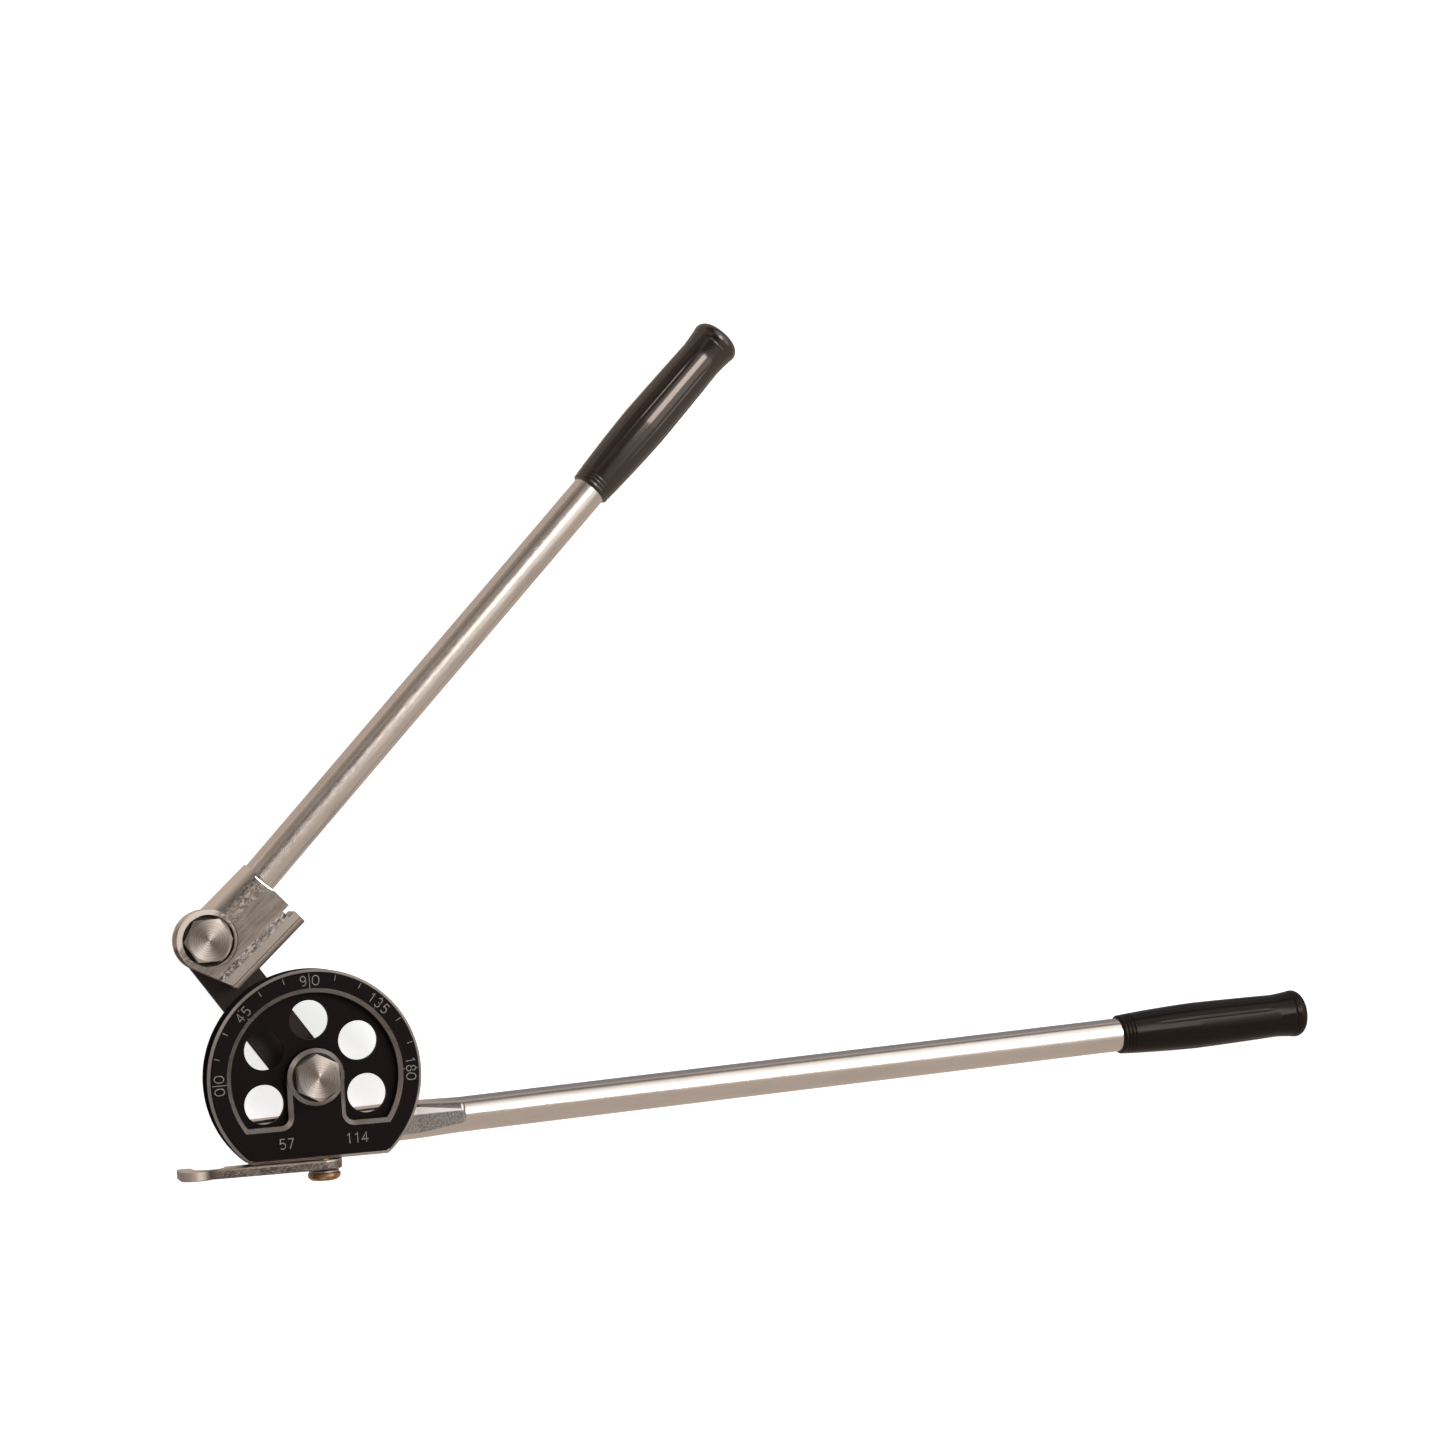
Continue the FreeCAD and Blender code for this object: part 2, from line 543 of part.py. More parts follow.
def grip(name, placement):
    """Moulded grip along +X from its mouth: rings near both ends, a swell, a waist and a flare."""
    body = new_body(name, placement)
    length = size("grip_length")
    bore_end = length - size("grip_end_wall")
    bore_radius = TUBE_R + size("grip_press")
    mouth, swell = size("grip_mouth_radius"), size("grip_swell_radius")
    waist, flare = size("grip_waist_radius"), size("grip_flare_radius")
    lip = size("grip_lip_round")
    edge, crown = size("grip_end_round"), size("grip_end_crown")
    end_flat = size("grip_end_flat")
    cap = length - crown
    swell_x, waist_x, flare_x = size("grip_swell_place"), size("grip_waist_place"), cap - edge
    profile = new_sketch(body, "grip_section", "XY_Plane")
    add_outline(profile, [
        ((lip, mouth), (swell_x / 2, mouth + (swell - mouth) * 0.62), (swell_x, swell)),
        ((swell_x, swell), ((swell_x + waist_x) / 2, swell - (swell - waist) * 0.4), (waist_x, waist)),
        ((waist_x, waist), ((waist_x + flare_x) / 2, waist + (flare - waist) * 0.38), (flare_x, flare)),
        ((flare_x, flare), (cap - edge * (1 - DIAGONAL), flare - edge * (1 - DIAGONAL)),
         (cap, flare - edge)),
        ((cap, flare - edge), (length - crown * 0.2, (flare - edge) * 0.55), (length, end_flat)),
        ((length, end_flat), (length, 0)),
        ((length, 0), (bore_end, 0)),
        ((bore_end, 0), (bore_end, bore_radius)),
        ((bore_end, bore_radius), (0, bore_radius)),
        ((0, bore_radius), (0, mouth - lip)),
        ((0, mouth - lip), (lip * 0.3, mouth - lip * 0.3), (lip, mouth))])
    feature(body, "Revolution", "grip_form", profile, Angle=360.0, ReferenceAxis=(profile, ["H_Axis"]))
    rings = new_sketch(body, "ring_sections", "XY_Plane")
    depth = size("grip_ring_depth")
    slope = (swell - mouth) * 2 * 0.62 / swell_x
    places = [(x, mouth + x * slope) for x in (size("grip_ring_step") * step for step in (1.3, 2.3, 3.3))]
    end_ring = size("grip_end_ring")
    places.append((end_ring, waist + (flare - waist) * (end_ring - waist_x) / (flare_x - waist_x)))
    for x, radius in places:
        add_outline(rings, [((x - depth, radius + 1), (x, radius - depth)),
                            ((x, radius - depth), (x + depth, radius + 1)),
                            ((x + depth, radius + 1), (x - depth, radius + 1))])
    cut(body, "Groove", "rings", rings, Angle=360.0, ReferenceAxis=(rings, ["H_Axis"]))


# ---------------------------------------------------------------- bolts, nuts, washers, pins

def ring(name, placement, outer, inner, height):
    """Flat washer or bush standing on its placement; sizes are expressions of the sheet."""
    body = new_body(name, placement)
    outline = new_sketch(body, name + "_outline", "XY_Plane")
    add_circle(outline, outer)
    add_circle(outline, inner)
    feature(body, "Pad", name + "_pad", outline, Length=height)
    return body


def hexagon(sketch, turn):
    corner = size("bolt_flats") / math.sqrt(3)
    points = [on_circle(corner, turn + 60 * number) for number in range(6)]
    add_outline(sketch, [(points[number], points[(number + 1) % 6]) for number in range(6)])


def corner_bevel(body, name, level, outwards):
    """Turned 30 degree bevel that takes the six corners off a hexagon's face."""
    inner = size("bolt_flats") / 2 - size("hexagon_rim")
    outer = size("bolt_flats") / math.sqrt(3) + 1
    slope = (outer - inner) * math.tan(math.radians(30))
    section = new_sketch(body, name + "_section", "XZ_Plane")
    back = level - outwards * slope
    past = level + outwards
    add_outline(section, [((inner, level), (outer, back)), ((outer, back), (outer, past)),
                          ((outer, past), (inner, past)), ((inner, past), (inner, level))])
    cut(body, "Groove", name, section, Angle=360.0, ReferenceAxis=(section, ["V_Axis"]))


def hex_bolt(name, placement, reach, turn):
    """Bolt whose head stands on its placement; reach is the shank's length below it."""
    body = new_body(name, placement)
    head = new_sketch(body, "head_outline", "XY_Plane")
    hexagon(head, turn)
    feature(body, "Pad", "head", head, Length="head_height")
    corner_bevel(body, "head_bevel", size("head_height"), 1)
    shank = new_sketch(body, "shank_outline", "XY_Plane")
    add_circle(shank, "bolt_diameter / 2")
    feature(body, "Pad", "shank", shank, Length=repr(reach), Reversed=True)
    dress(body, "Chamfer", "shank_point", "bolt_end", lambda p: near(p.z, -reach))


def hex_nut(name, placement, turn):
    body = new_body(name, placement)
    outline = new_sketch(body, "nut_outline", "XY_Plane")
    hexagon(outline, turn)
    add_circle(outline, "bolt_diameter / 2")
    feature(body, "Pad", "nut", outline, Length="nut_height")
    corner_bevel(body, "outer_bevel", 0.0, -1)


def at(x, y, z):
    return FreeCAD.Placement(V(x, y, z), FreeCAD.Rotation())


def centre_fasteners():
    bolt_hole = "bolt_diameter / 2 + running_clearance"
    nut_low = NUT_SEAT - size("nut_height")
    reach = HEAD_SEAT - nut_low + size("bolt_end")
    hex_bolt("centre_bolt", at(0, 0, HEAD_SEAT), reach, 90)
    ring("centre_seal_washer", at(0, 0, HUB_TOP), "seal_washer_radius", bolt_hole, "seal_washer_thickness")
    ring("hub_thrust_washer", at(0, 0, LINK_TOP + size("side_clearance")), "thrust_washer_radius",
         bolt_hole, "thrust_washer_thickness")
    ring("centre_nut_washer", at(0, 0, NUT_SEAT), "nut_washer_radius", bolt_hole, "nut_washer_thickness")
    hex_nut("centre_nut", at(0, 0, nut_low), 90)


def arm_fasteners():
    bolt_hole = "bolt_diameter / 2 + running_clearance"
    washer = size("nut_washer_thickness")
    nut_low = LINK_REAR - washer - size("nut_height")
    reach = ARM_HEAD_SEAT - nut_low + size("bolt_end")
    x, y = PIVOT.x, PIVOT.y
    hex_bolt("arm_pivot_bolt", at(x, y, ARM_HEAD_SEAT), reach, 0)
    ring("arm_head_washer", at(x, y, ARM_HEAD_SEAT - washer), "thrust_washer_radius", bolt_hole,
         "nut_washer_thickness")
    ring("arm_thrust_washer", at(x, y, LINK_TOP), "thrust_washer_radius", bolt_hole,
         "thrust_washer_thickness")
    ring("arm_nut_washer", at(x, y, LINK_REAR - washer), "nut_washer_radius", bolt_hole,
         "nut_washer_thickness")
    hex_nut("arm_pivot_nut", at(x, y, nut_low), 0)
    ring("arm_pivot_bush", at(x, y, -FRONT), "bolt_diameter / 2 + running_clearance + arm_bush_wall",
         bolt_hole, repr(FRONT + ARM_TANG_TOP))


def handle_spring_pins():
    """Two rolled pins with a slit, through the pressed end into the wheel."""
    radius = size("pin_diameter") / 2
    low = size("handle_level") - TUBE_R - size("side_clearance")
    length = WEB_REAR + size("pin_reach") - low
    pins = []
    for number, x in enumerate(PIN_PLACES):
        base = V(x, -size("handle_drop"), low)
        rod = doc.addObject("Part::Cylinder", "pin_%d" % number)
        rod.setExpression("Radius", ref("pin_diameter / 2"))
        rod.Height = length
        hole = doc.addObject("Part::Cylinder", "pin_hole_%d" % number)
        hole.setExpression("Radius", ref("pin_diameter / 5"))
        hole.Height = length
        slit = doc.addObject("Part::Box", "pin_slit_%d" % number)
        slit.Length = radius * 2
        slit.setExpression("Width", ref("pin_diameter / 8"))
        slit.Height = length
        rod.Placement = hole.Placement = FreeCAD.Placement(base, FreeCAD.Rotation())
        slit.Placement = FreeCAD.Placement(base + V(0, -radius / 8, 0), FreeCAD.Rotation())
        gap = doc.addObject("Part::MultiFuse", "pin_gap_%d" % number)
        gap.Shapes = [hole, slit]
        pin = doc.addObject("Part::Cut", "spring_pin_%d" % number)
        pin.Base, pin.Tool = rod, gap
        pins.append(pin)
    both = doc.addObject("Part::Compound", "handle_spring_pins")
    both.Links = pins
    both.Label = "handle_spring_pins"
    nodes.append(both)


# ---------------------------------------------------------------- link

def link_plate():
    body = new_body("link_plate", turned(size("link_angle"), V(0, 0, LINK_REAR)))
    half = size("link_width") / 2
    far = LINK_LENGTH
    outline = new_sketch(body, "plate_outline", "XY_Plane")
    add_outline(outline, [((0, -half), (far, -half)), ((far, -half), (far + half, 0), (far, half)),
                          ((far, half), (0, half)), ((0, half), (-half, 0), (0, -half))])
    add_circle(outline, "bolt_diameter / 2 + running_clearance + link_bush_wall")
    add_circle(outline, "bolt_diameter / 2 + running_clearance", far, 0.0001)
    feature(body, "Pad", "plate", outline, Length="link_thickness")
    dress(body, "Chamfer", "plate_edges", "edge_bevel", lambda p: math.hypot(p.x, p.y) > half - 0.01
          and math.hypot(p.x - far, p.y) > half - 0.01)
    ring("link_bush", at(0, 0, LINK_REAR), "bolt_diameter / 2 + running_clearance + link_bush_wall",
         "bolt_diameter / 2 + running_clearance", "link_thickness")


# ---------------------------------------------------------------- forming arm

def part_sketch(name, placement):
    sketch = doc.addObject("Sketcher::SketchObject", name)
    sketch.Placement = placement
    return sketch


def extruded(name, sketch, direction, length):
    made = doc.addObject("Part::Extrusion", name)
    made.Base = sketch
    made.DirMode = "Custom"
    made.Dir = direction
    made.LengthFwd = length
    made.Solid = True
    return made


def shoe_bracket():
    """Sheet folded round the arm's tube, with its other edge turned in as the half-round shoe.

    Own frame: origin at the arm's pivot, X along the groove, +Y away from the wheel.
    """
    depth = FRONT
    sheet_t = size("sheet_thickness")
    fold_y = size("fold_offset")
    lip_y = -size("lip_offset")
    bend = size("lip_bend")
    wall = GROOVE + sheet_t
    inner = depth - sheet_t
    meet = lip_y + math.sqrt(wall ** 2 - inner ** 2)
    top = size("shoe_top")
    bottom = -size("shoe_bottom")
    ear = size("ear_radius")

    upright = FreeCAD.Rotation(V(0, 1, 0), V(0, 0, 1), V(1, 0, 0), "XYZ")
    section = part_sketch("bracket_section", FreeCAD.Placement(V(-ear * 2, 0, 0), upright))
    turn = bend * (1 - math.sqrt(0.5))
    add_outline(section, [
        ((fold_y, depth), (lip_y + bend, depth)),
        ((lip_y + bend, depth), (lip_y + turn, depth - turn), (lip_y, depth - bend)),
        ((lip_y, depth - bend), (lip_y, GROOVE)),
        ((lip_y, GROOVE), (lip_y + GROOVE, 0), (lip_y, -GROOVE)),
        ((lip_y, -GROOVE), (lip_y, -depth + bend)),
        ((lip_y, -depth + bend), (lip_y + turn, -depth + turn), (lip_y + bend, -depth)),
        ((lip_y + bend, -depth), (fold_y, -depth)),
        ((fold_y, -depth), (fold_y + depth, 0), (fold_y, depth))])
    add_outline(section, [
        ((fold_y, inner), (meet, inner)),
        ((meet, inner), (lip_y + wall, 0), (meet, -inner)),
        ((meet, -inner), (fold_y, -inner)),
        ((fold_y, -inner), (fold_y + inner, 0), (fold_y, inner))])
    channel = extruded("bracket_channel", section, V(1, 0, 0), top + ear * 2)

    # side view: slanted lower end that runs into the round end
    reach = math.hypot(bottom, lip_y)
    bearing = math.degrees(math.atan2(lip_y, bottom))
    touch = on_circle(ear, bearing - math.degrees(math.acos(ear / reach)))
    slope = ((bottom - touch[0]) / (lip_y - touch[1]))
    below = (bottom + slope * -2, lip_y - 2)
    outline = part_sketch("bracket_outline", FreeCAD.Placement(V(0, 0, -depth - 1), FreeCAD.Rotation()))
    past = top + 5
    add_outline(outline, [
        (below, touch), (touch, (-ear, 0), (0, ear)), ((0, ear), (past, ear)),
        ((past, ear), (past, lip_y - 2)), ((past, lip_y - 2), below)])
    prism = extruded("bracket_prism", outline, V(0, 0, 1), 2 * depth + 2)
    blank = doc.addObject("Part::Common", "bracket_blank")
    blank.Base, blank.Tool = channel, prism

    ears = []
    for side, level in (("front", inner), ("rear", -depth)):
        disc = doc.addObject("Part::Cylinder", "ear_" + side)
        disc.setExpression("Radius", ref("ear_radius"))
        disc.setExpression("Height", ref("sheet_thickness"))
        disc.Placement = FreeCAD.Placement(V(0, 0, level), FreeCAD.Rotation())
        ears.append(disc)
    whole = doc.addObject("Part::MultiFuse", "bracket_with_ears")
    whole.Shapes = [blank] + ears

    mouth = doc.addObject("Part::Box", "fold_opening")
    mouth.Length = ear * 2 + size("fold_start")
    mouth.Width = ear * 2
    mouth.Height = 2 * inner
    mouth.Placement = FreeCAD.Placement(V(-ear * 2, lip_y / 2, -inner), FreeCAD.Rotation())
    notch = doc.addObject("Part::Box", "relief_notch")
    notch.Length = past
    notch.setExpression("Width", ref("notch_width"))
    notch.Height = 2 * depth + 2
    notch.Placement = FreeCAD.Placement(
        V(top - size("notch_depth"), -size("notch_offset") - size("notch_width"), -depth - 1),
        FreeCAD.Rotation())
    head_hole = doc.addObject("Part::Cylinder", "head_hole")
    head_hole.setExpression("Radius", ref("head_hole_radius"))
    head_hole.Height = depth
    bush_hole = doc.addObject("Part::Cylinder", "bush_hole")
    bush_hole.setExpression("Radius", ref("bolt_diameter / 2 + running_clearance + arm_bush_wall"))
    bush_hole.Height = depth * 2
    bush_hole.Placement = FreeCAD.Placement(V(0, 0, -depth * 2 + 1), FreeCAD.Rotation())
    tube_seat = doc.addObject("Part::Cylinder", "tube_seat")
    tube_seat.setExpression("Radius", ref("handle_diameter / 2 + running_clearance"))
    tube_seat.Height = past * 2
    tube_seat.Placement = FreeCAD.Placement(
        V(0, 0, 0),
        FreeCAD.Rotation(UP, size("handle_splay_angle")).multiply(FreeCAD.Rotation(V(0, 1, 0), 90)))
    tools = doc.addObject("Part::MultiFuse", "bracket_cuts")
    tools.Shapes = [mouth, notch, head_hole, bush_hole, tube_seat]
    bracket = doc.addObject("Part::Cut", "shoe_bracket")
    bracket.Base, bracket.Tool = whole, tools
    bracket.Label = "shoe_bracket"
    bracket.Placement = turned(LIP_ANGLE, PIVOT)
    nodes.append(bracket)


# ---------------------------------------------------------------- latch

def latch_hook():
    """Flat hook across the wheel's flat. Its notch opens to the rear, round the straight tube."""
    body = new_body("latch_hook", WHEEL_TURN)
    px, pz = size("latch_pivot"), size("latch_level")
    eye = size("latch_eye_radius")
    notch = size("work_tube_diameter") / 2 + size("hook_clearance")
    tube_x = -size("bend_radius")
    right, left = tube_x + notch, tube_x - notch
    lobe = size("hook_lobe_radius")
    width = size("hook_finger_width")
    tip_x = left - width
    lobe_x = tip_x + lobe
    back = notch + size("hook_back")
    lobe_z = back - lobe * 0.52
    meet_x = lobe_x + math.sqrt(lobe ** 2 - (back - lobe_z) ** 2)
    finger = -size("hook_finger_length")
    outline = new_sketch(body, "hook_outline", "XZ_Plane", "flat_drop + latch_gap")
    add_outline(outline, [
        ((px, pz + eye), (meet_x, back)),
        ((meet_x, back), (lobe_x, lobe_z + lobe), (tip_x, lobe_z)),
        ((tip_x, lobe_z), (tip_x, finger)),
        ((tip_x, finger), (tip_x + width / 2, finger - width / 2), (left, finger)),
        ((left, finger), (left, 0)),
        ((left, 0), (tube_x, notch), (right, 0)),
        ((right, 0), (right, -1.5)),
        ((right, -1.5), (px, pz - eye)),
        ((px, pz - eye), (px + eye, pz), (px, pz + eye))])
    add_circle(outline, "latch_shoulder_diameter / 2 + running_clearance", px, pz)
    feature(body, "Pad", "hook_plate", outline, Length="latch_thickness")
    dress(body, "Chamfer", "hook_edges", "edge_bevel", lambda p: near(p.y, LATCH_BOTTOM)
          and math.hypot(p.x - px, p.z - pz) > eye / 2)


def latch_screw():
    """Turned screw: thread in the wheel, shoulder through the latch, domed head below."""
    place = WHEEL_TURN.multiply(at(size("latch_pivot"), 0, size("latch_level")))
    body = new_body("latch_screw", place)
    thread = size("latch_screw_diameter") / 2
    shoulder = size("latch_shoulder_diameter") / 2
    head = size("latch_head_diameter") / 2
    height = size("latch_head_height")
    point = size("latch_screw_point")
    top = -size("flat_drop") + size("latch_screw_depth")
    under = LATCH_BOTTOM - size("side_clearance") * 2 - size("latch_washer_height")
    flat = -size("flat_drop")
    low = under - height
    section = new_sketch(body, "screw_section", "XY_Plane")
    add_outline(section, [
        ((0, top), (thread - point, top)), ((thread - point, top), (thread, top - point)),
        ((thread, top - point), (thread, flat)), ((thread, flat), (shoulder, flat)),
        ((shoulder, flat), (shoulder, under)), ((shoulder, under), (head - 0.5, under)),
        ((head - 0.5, under), (head, under - 0.5)), ((head, under - 0.5), (head, under - height * 0.45)),
        ((head, under - height * 0.45), (head * 0.86, under - height * 0.85), (head * 0.55, low)),
        ((head * 0.55, low), (0, low)), ((0, low), (0, top))])
    feature(body, "Revolution", "screw_form", section, Angle=360.0, ReferenceAxis=(section, ["V_Axis"]))

    washer = new_body("latch_spring_washer", place)
    inner = shoulder + size("side_clearance")
    outer = size("latch_washer_diameter") / 2
    high = LATCH_BOTTOM - size("side_clearance")
    rim = size("latch_washer_height")
    thick = rim * 0.55
    cone = new_sketch(washer, "washer_section", "XY_Plane")
    add_outline(cone, [((inner, high), (outer, high - rim + thick)),
                       ((outer, high - rim + thick), (outer, high - rim)),
                       ((outer, high - rim), (inner, high - thick)), ((inner, high - thick), (inner, high))])
    feature(washer, "Revolution", "washer_form", cone, Angle=360.0, ReferenceAxis=(cone, ["V_Axis"]))


forming_wheel()
fixed_handle_tube()
grip("fixed_handle_grip", at(size("fixed_grip_start"), -size("handle_drop"), size("handle_level")))
handle_spring_pins()
centre_fasteners()
link_plate()
arm_fasteners()
shoe_bracket()
arm_handle_tube()
along = FreeCAD.Rotation(UP, ARM_ANGLE).multVec(V(size("arm_grip_start"), 0, 0))
grip("arm_handle_grip", turned(ARM_ANGLE, PIVOT + along))
latch_hook()
latch_screw()
doc.recompute()

for item in doc.Objects:
    if "Invalid" in item.State or "Error" in item.State:
        raise ValueError("failed: " + item.Name + " " + str(item.State))
for node in nodes:
    if node.Shape.isNull() or not node.Shape.isValid() or not node.Shape.Solids:
        raise ValueError("bad shape: " + node.Label)
    print(node.Label, len(node.Shape.Solids), round(node.Shape.Volume, 1))

os.makedirs("parts", exist_ok=True)
for node in nodes:
    node.Shape.exportStep("parts/" + node.Label + ".step")
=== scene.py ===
import bpy
import bmesh
import json
import math
from mathutils import Matrix, Vector


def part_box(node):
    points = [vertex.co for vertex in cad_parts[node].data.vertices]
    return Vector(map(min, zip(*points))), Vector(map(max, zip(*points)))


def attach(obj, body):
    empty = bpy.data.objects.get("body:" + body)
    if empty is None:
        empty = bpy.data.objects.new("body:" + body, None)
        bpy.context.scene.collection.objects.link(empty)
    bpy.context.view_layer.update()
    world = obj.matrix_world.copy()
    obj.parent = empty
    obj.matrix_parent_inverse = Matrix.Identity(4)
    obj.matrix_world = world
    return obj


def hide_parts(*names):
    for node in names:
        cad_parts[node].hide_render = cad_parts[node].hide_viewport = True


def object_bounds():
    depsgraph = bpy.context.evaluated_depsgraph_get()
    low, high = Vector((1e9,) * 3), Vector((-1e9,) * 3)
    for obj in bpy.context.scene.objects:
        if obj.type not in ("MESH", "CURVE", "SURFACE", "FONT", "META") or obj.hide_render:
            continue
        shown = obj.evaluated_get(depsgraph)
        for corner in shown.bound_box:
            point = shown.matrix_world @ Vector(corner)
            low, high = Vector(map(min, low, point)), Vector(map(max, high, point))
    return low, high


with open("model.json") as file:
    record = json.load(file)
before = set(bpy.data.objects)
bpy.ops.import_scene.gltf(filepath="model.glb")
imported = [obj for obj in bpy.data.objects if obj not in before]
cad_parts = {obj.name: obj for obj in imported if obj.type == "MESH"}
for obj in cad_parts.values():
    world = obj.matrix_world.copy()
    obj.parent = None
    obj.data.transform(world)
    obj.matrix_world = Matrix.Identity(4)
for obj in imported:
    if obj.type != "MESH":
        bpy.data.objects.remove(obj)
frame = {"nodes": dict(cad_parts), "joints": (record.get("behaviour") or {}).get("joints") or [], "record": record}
cad_box = [list(corner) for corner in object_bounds()]
nodes = frame["nodes"]
joints = {joint["name"]: joint for joint in frame["joints"]}

MM = 0.001
WHEEL_TURN = math.radians(-1.8)     # flat and latch, from the fixed handle
SCALE_TURN = -1.2                   # degrees, scale from the fixed handle
LIP_ANGLE = math.radians(40.4)      # shoe's groove at rest
ARM_ANGLE = math.radians(44.3)      # arm's handle at rest
PIVOT = Vector(joints["handle_pivot"]["pos_m"])
ORIGIN = (0, 0, 0)
UPRIGHT = (0, 0, 0)
WITH_WHEEL = (0, 0, WHEEL_TURN)
WITH_LIP = (0, 0, LIP_ANGLE)
WITH_ARM = (0, 0, ARM_ANGLE)
WHEEL_FACE = 12.0 * MM              # level of the wheel's front face
ARM_GRIP_START = 323.5 * MM         # mouth of the arm's grip, from the arm's pivot
PRESSED_END = 78.5 * MM             # the fixed handle is pressed flat up to this x
PRESSED_PAINTED_HIGHLIGHT = -27.1 * MM          # and gets a painted highlight there above this y


# ---------------------------------------------------------------- materials

class Paint:
    """A node material, built with short calls. Lengths are in metres, and noise scales are per metre."""

    def __init__(self, name, base, metal, rough, **sockets):
        self.material = bpy.data.materials.new(name)
        self.material.use_nodes = True
        self.tree = self.material.node_tree
        self.shader = self.tree.nodes["Principled BSDF"]
        self.shader.inputs["Base Color"].default_value = (*base, 1)
        self.shader.inputs["Metallic"].default_value = metal
        self.shader.inputs["Roughness"].default_value = rough
        for key, value in sockets.items():
            self.shader.inputs[key.replace("_", " ")].default_value = value
        coordinates = self.node("ShaderNodeTexCoord")
        self.place = coordinates.outputs["Object"]
        self.facing = coordinates.outputs["Normal"]

    def node(self, kind, **settings):
        made = self.tree.nodes.new(kind)
        for key, value in settings.items():
            setattr(made, key, value)
        return made

    def link(self, source, target):
        self.tree.links.new(source, target)

    def put(self, socket, value):
        if isinstance(value, (int, float)):
            socket.default_value = value
        elif isinstance(value, tuple):
            socket.default_value = (*value, 1) if len(socket.default_value) == 4 else value
        else:
            self.link(value, socket)

    def framed(self, origin, turn, scale=(1, 1, 1)):
        """Object coordinates in a frame of their own."""
        moved = self.node("ShaderNodeMapping", vector_type="TEXTURE")
        moved.inputs["Location"].default_value = origin
        moved.inputs["Rotation"].default_value = turn
        self.link(self.place, moved.inputs["Vector"])
        if scale == (1, 1, 1):
            return moved.outputs["Vector"]
        sized = self.node("ShaderNodeMapping")
        sized.inputs["Scale"].default_value = scale
        self.link(moved.outputs["Vector"], sized.inputs["Vector"])
        return sized.outputs["Vector"]

    def split(self, vector):
        made = self.node("ShaderNodeSeparateXYZ")
        self.link(vector, made.inputs[0])
        return made.outputs

    def noise(self, scale, detail=3.0, rough=0.5, where=None):
        made = self.node("ShaderNodeTexNoise")
        made.inputs["Scale"].default_value = scale
        made.inputs["Detail"].default_value = detail
        made.inputs["Roughness"].default_value = rough
        self.link(where or self.place, made.inputs["Vector"])
        return made.outputs["Fac"]

    def math(self, kind, a, b=0.0, clamp=False):
        made = self.node("ShaderNodeMath", operation=kind, use_clamp=clamp)
        self.put(made.inputs[0], a)
        self.put(made.inputs[1], b)
        return made.outputs[0]

    def chain(self, kind, first, *others):
        for other in others:
            first = self.math(kind, first, other)
        return first

    def times(self, *parts):
        return self.chain("MULTIPLY", *parts)

    def plus(self, *parts):
        return self.chain("ADD", *parts)

    def minus(self, *parts):
        return self.chain("SUBTRACT", *parts)

    def most(self, *parts):
        return self.chain("MAXIMUM", *parts)

    def distance(self, x, y):
        return self.math("SQRT", self.plus(self.times(x, x), self.times(y, y)))

    def mix(self, factor, a, b):
        made = self.node("ShaderNodeMix", data_type="RGBA")
        self.put(made.inputs[0], factor)
        self.put(made.inputs[6], a)
        self.put(made.inputs[7], b)
        return made.outputs[2]

    def ranged(self, source, low, high, start=0.0, end=1.0, smooth=False):
        made = self.node("ShaderNodeMapRange",
                         interpolation_type="SMOOTHSTEP" if smooth else "LINEAR")
        made.inputs["From Min"].default_value = start
        made.inputs["From Max"].default_value = end
        made.inputs["To Min"].default_value = low
        made.inputs["To Max"].default_value = high
        self.link(source, made.inputs["Value"])
        return made.outputs["Result"]

    def above(self, source, start, end):
        """0 up to start and 1 from end on."""
        return self.ranged(source, 0, 1, start, end, True)

    def below(self, source, start, end):
        """1 up to start and 0 from end on."""
        return self.ranged(source, 1, 0, start, end, True)

    def band(self, source, low, high, soft):
        """1 between low and high, falling off over soft on each side."""
        return self.times(self.above(source, low - soft, low + soft),
                          self.below(source, high - soft, high + soft))

    def bump(self, height, strength, distance):
        made = self.node("ShaderNodeBump")
        made.inputs["Strength"].default_value = strength
        made.inputs["Distance"].default_value = distance
        self.link(height, made.inputs["Height"])
        self.link(made.outputs["Normal"], self.shader.inputs["Normal"])

    def colour(self, source):
        self.link(source, self.shader.inputs["Base Color"])

    def roughness(self, source):
        self.link(source, self.shader.inputs["Roughness"])

    def metal(self, source):
        self.link(source, self.shader.inputs["Metallic"])


